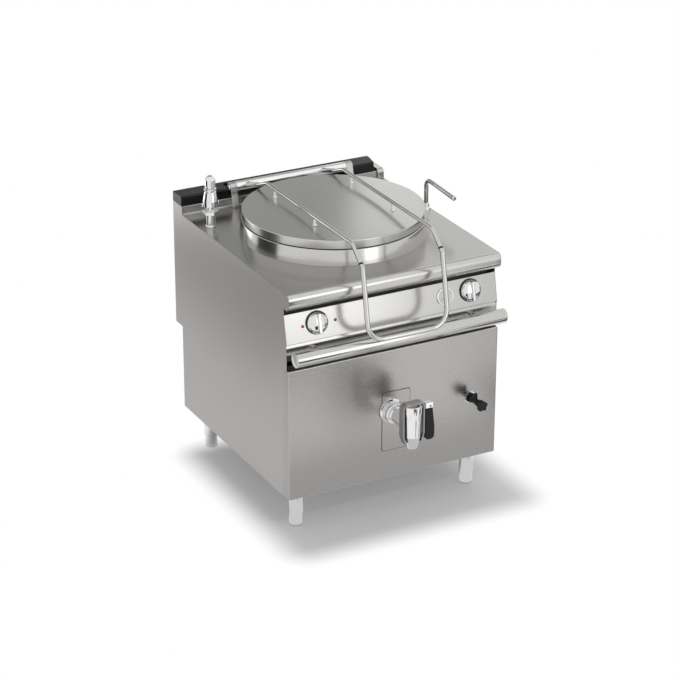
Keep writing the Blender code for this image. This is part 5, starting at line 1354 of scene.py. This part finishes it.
class KETTLE_OT_stage(bpy.types.Operator):
    """Sets the pale floor, the soft studio lamps, the white surround and the camera"""

    bl_idname = "kettle.stage"
    bl_label = "Studio"

    def execute(self, context):
        """Make the floor, the lamps, the world and the camera."""
        scene = context.scene
        grey = tuple(scene.kettle_colours.floor)
        tree, shader, away = principled("pale studio floor", grey, 0.8)
        # Painted shadow: round the footprint the white surround fades to the grey floor, which
        # also takes the lamps' real shadow.
        for operation, value in (("SUBTRACT", FLOOR_MIDDLE), ("ABSOLUTE", (0, 0, 0)),
                                 ("SUBTRACT", FLOOR_HALF), ("MAXIMUM", (0, 0, 0))):
            away = add_node(tree, "ShaderNodeVectorMath", {"operation": operation}, {1: value},
                            {0: away})
        away = add_node(tree, "ShaderNodeVectorMath", {"operation": "LENGTH"}, links={0: away})
        far = add_node(tree, "ShaderNodeMapRange", {"interpolation_type": "SMOOTHSTEP"},
                       {"From Min": 0.0, "From Max": FLOOR_FADE, "To Min": FLOOR_SHARE,
                        "To Max": 1.0}, {"Value": away.outputs["Value"]})
        share = add_node(tree, "ShaderNodeMath", {"operation": "MULTIPLY"},
                         links={0: ray_share(tree), 1: far})
        white = add_node(tree, "ShaderNodeEmission", values={"Color": (1, 1, 1, 1)})
        mixed = add_node(tree, "ShaderNodeMixShader", links={0: share, 1: shader, 2: white})
        tree.links.new(mixed.outputs["Shader"], tree.nodes["Material Output"].inputs["Surface"])
        bm = bmesh.new()
        bmesh.ops.create_circle(bm, cap_ends=True, segments=96, radius=30)
        floor = made_object("studio_floor", bm, "pale studio floor")

        world = bpy.data.worlds.new("white studio")
        world.use_nodes = True
        scene.world = world
        sky = world.node_tree
        strength = add_node(sky, "ShaderNodeMapRange", None,
                            {"To Min": WORLD_FILL, "To Max": 1.0}, {"Value": ray_share(sky)})
        back = sky.nodes["Background"]
        back.inputs["Color"].default_value = (1, 1, 1, 1)
        sky.links.new(strength.outputs["Result"], back.inputs["Strength"])

        for name, place, aim, size, power, mirrored in LAMPS:
            data = bpy.data.lights.new(name, "AREA")
            data.shape = "RECTANGLE"
            data.size, data.size_y = size
            data.energy = power
            lamp = bpy.data.objects.new(name, data)
            scene.collection.objects.link(lamp)
            lamp.location = Vector(place)
            lamp.rotation_euler = (Vector(aim) - Vector(place)).to_track_quat("-Z", "Y").to_euler()
            lamp.visible_camera = False
            lamp.visible_glossy = mirrored

        for name, middle, facing, size, tone in FLAGS:
            principled(name + " cloth", (0, 0, 0), 0.9, Emission_Color=(*linear(tone), 1),
                       Emission_Strength=1.0)
            bm = bmesh.new()
            bmesh.ops.create_grid(bm, x_segments=1, y_segments=1, size=0.5)
            bmesh.ops.scale(bm, vec=(*size, 1), verts=bm.verts)
            laid(bm, Vector(facing).to_track_quat("Z", "Y").to_matrix(), middle)
            flag = made_object(name, bm, name + " cloth")
            flag.visible_camera = False
            flag.visible_diffuse = False
            flag.visible_shadow = False

        scene.view_settings.view_transform = "Standard"
        turn, tilt, roll = CAMERA_TURN, CAMERA_TILT, CAMERA_ROLL
        forward = Vector((math.sin(turn) * math.cos(tilt), math.cos(turn) * math.cos(tilt),
                          -math.sin(tilt)))
        right = Vector((math.cos(turn), -math.sin(turn), 0))
        up = right.cross(forward)
        across = right * math.cos(roll) + up * math.sin(roll)
        above = up * math.cos(roll) - right * math.sin(roll)
        data = bpy.data.cameras.new("photograph camera")
        data.sensor_width = CAMERA_SENSOR
        data.lens = CAMERA_LENS
        data.clip_end = 100.0
        camera = bpy.data.objects.new("photograph camera", data)
        scene.collection.objects.link(camera)
        basis = Matrix((across, above, -forward)).transposed().to_4x4()
        camera.matrix_world = Matrix.Translation(Vector(CAMERA_PLACE)) @ basis
        scene.camera = camera
        return {"FINISHED"}


PIECES = (KETTLE_OT_housing, KETTLE_OT_rear, KETTLE_OT_rail, KETTLE_OT_feet, KETTLE_OT_kettle,
          KETTLE_OT_lid_gear, KETTLE_OT_spout, KETTLE_OT_safety_valve, KETTLE_OT_drain_tap,
          KETTLE_OT_cock, KETTLE_OT_controls)
ORDER = (KETTLE_OT_finishes,) + PIECES + (KETTLE_OT_stage,)


class KETTLE_PT_pieces(bpy.types.Panel):
    """Lists the kettle's pieces, sizes and colours in the sidebar"""

    bl_idname = "KETTLE_PT_pieces"
    bl_label = "Steam jacketed kettle"
    bl_space_type = "VIEW_3D"
    bl_region_type = "UI"
    bl_category = "Kettle"

    def draw(self, context):
        """Show a button for each operator and a field for each property."""
        column = self.layout.column(align=True)
        for operator in ORDER:
            column.operator(operator.bl_idname)
        for group in (context.scene.kettle_sizes, context.scene.kettle_colours):
            column = self.layout.column()
            for name in group.__annotations__:
                column.prop(group, name)


CLASSES = (KettleSizes, KettleColours) + ORDER + (KETTLE_PT_pieces,)


def register():
    """Registers every class and the two property groups."""
    for item in CLASSES:
        bpy.utils.register_class(item)
    bpy.types.Scene.kettle_sizes = PointerProperty(type=KettleSizes)
    bpy.types.Scene.kettle_colours = PointerProperty(type=KettleColours)


def unregister():
    """Takes away what register added."""
    del bpy.types.Scene.kettle_colours
    del bpy.types.Scene.kettle_sizes
    for item in reversed(CLASSES):
        bpy.utils.unregister_class(item)


def main():
    """Makes the kettle and its stage."""
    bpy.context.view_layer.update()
    register()
    for operator in ORDER:
        name = operator.bl_idname.split(".")[1]
        getattr(bpy.ops.kettle, name)()


if __name__ == "__main__":
    main()
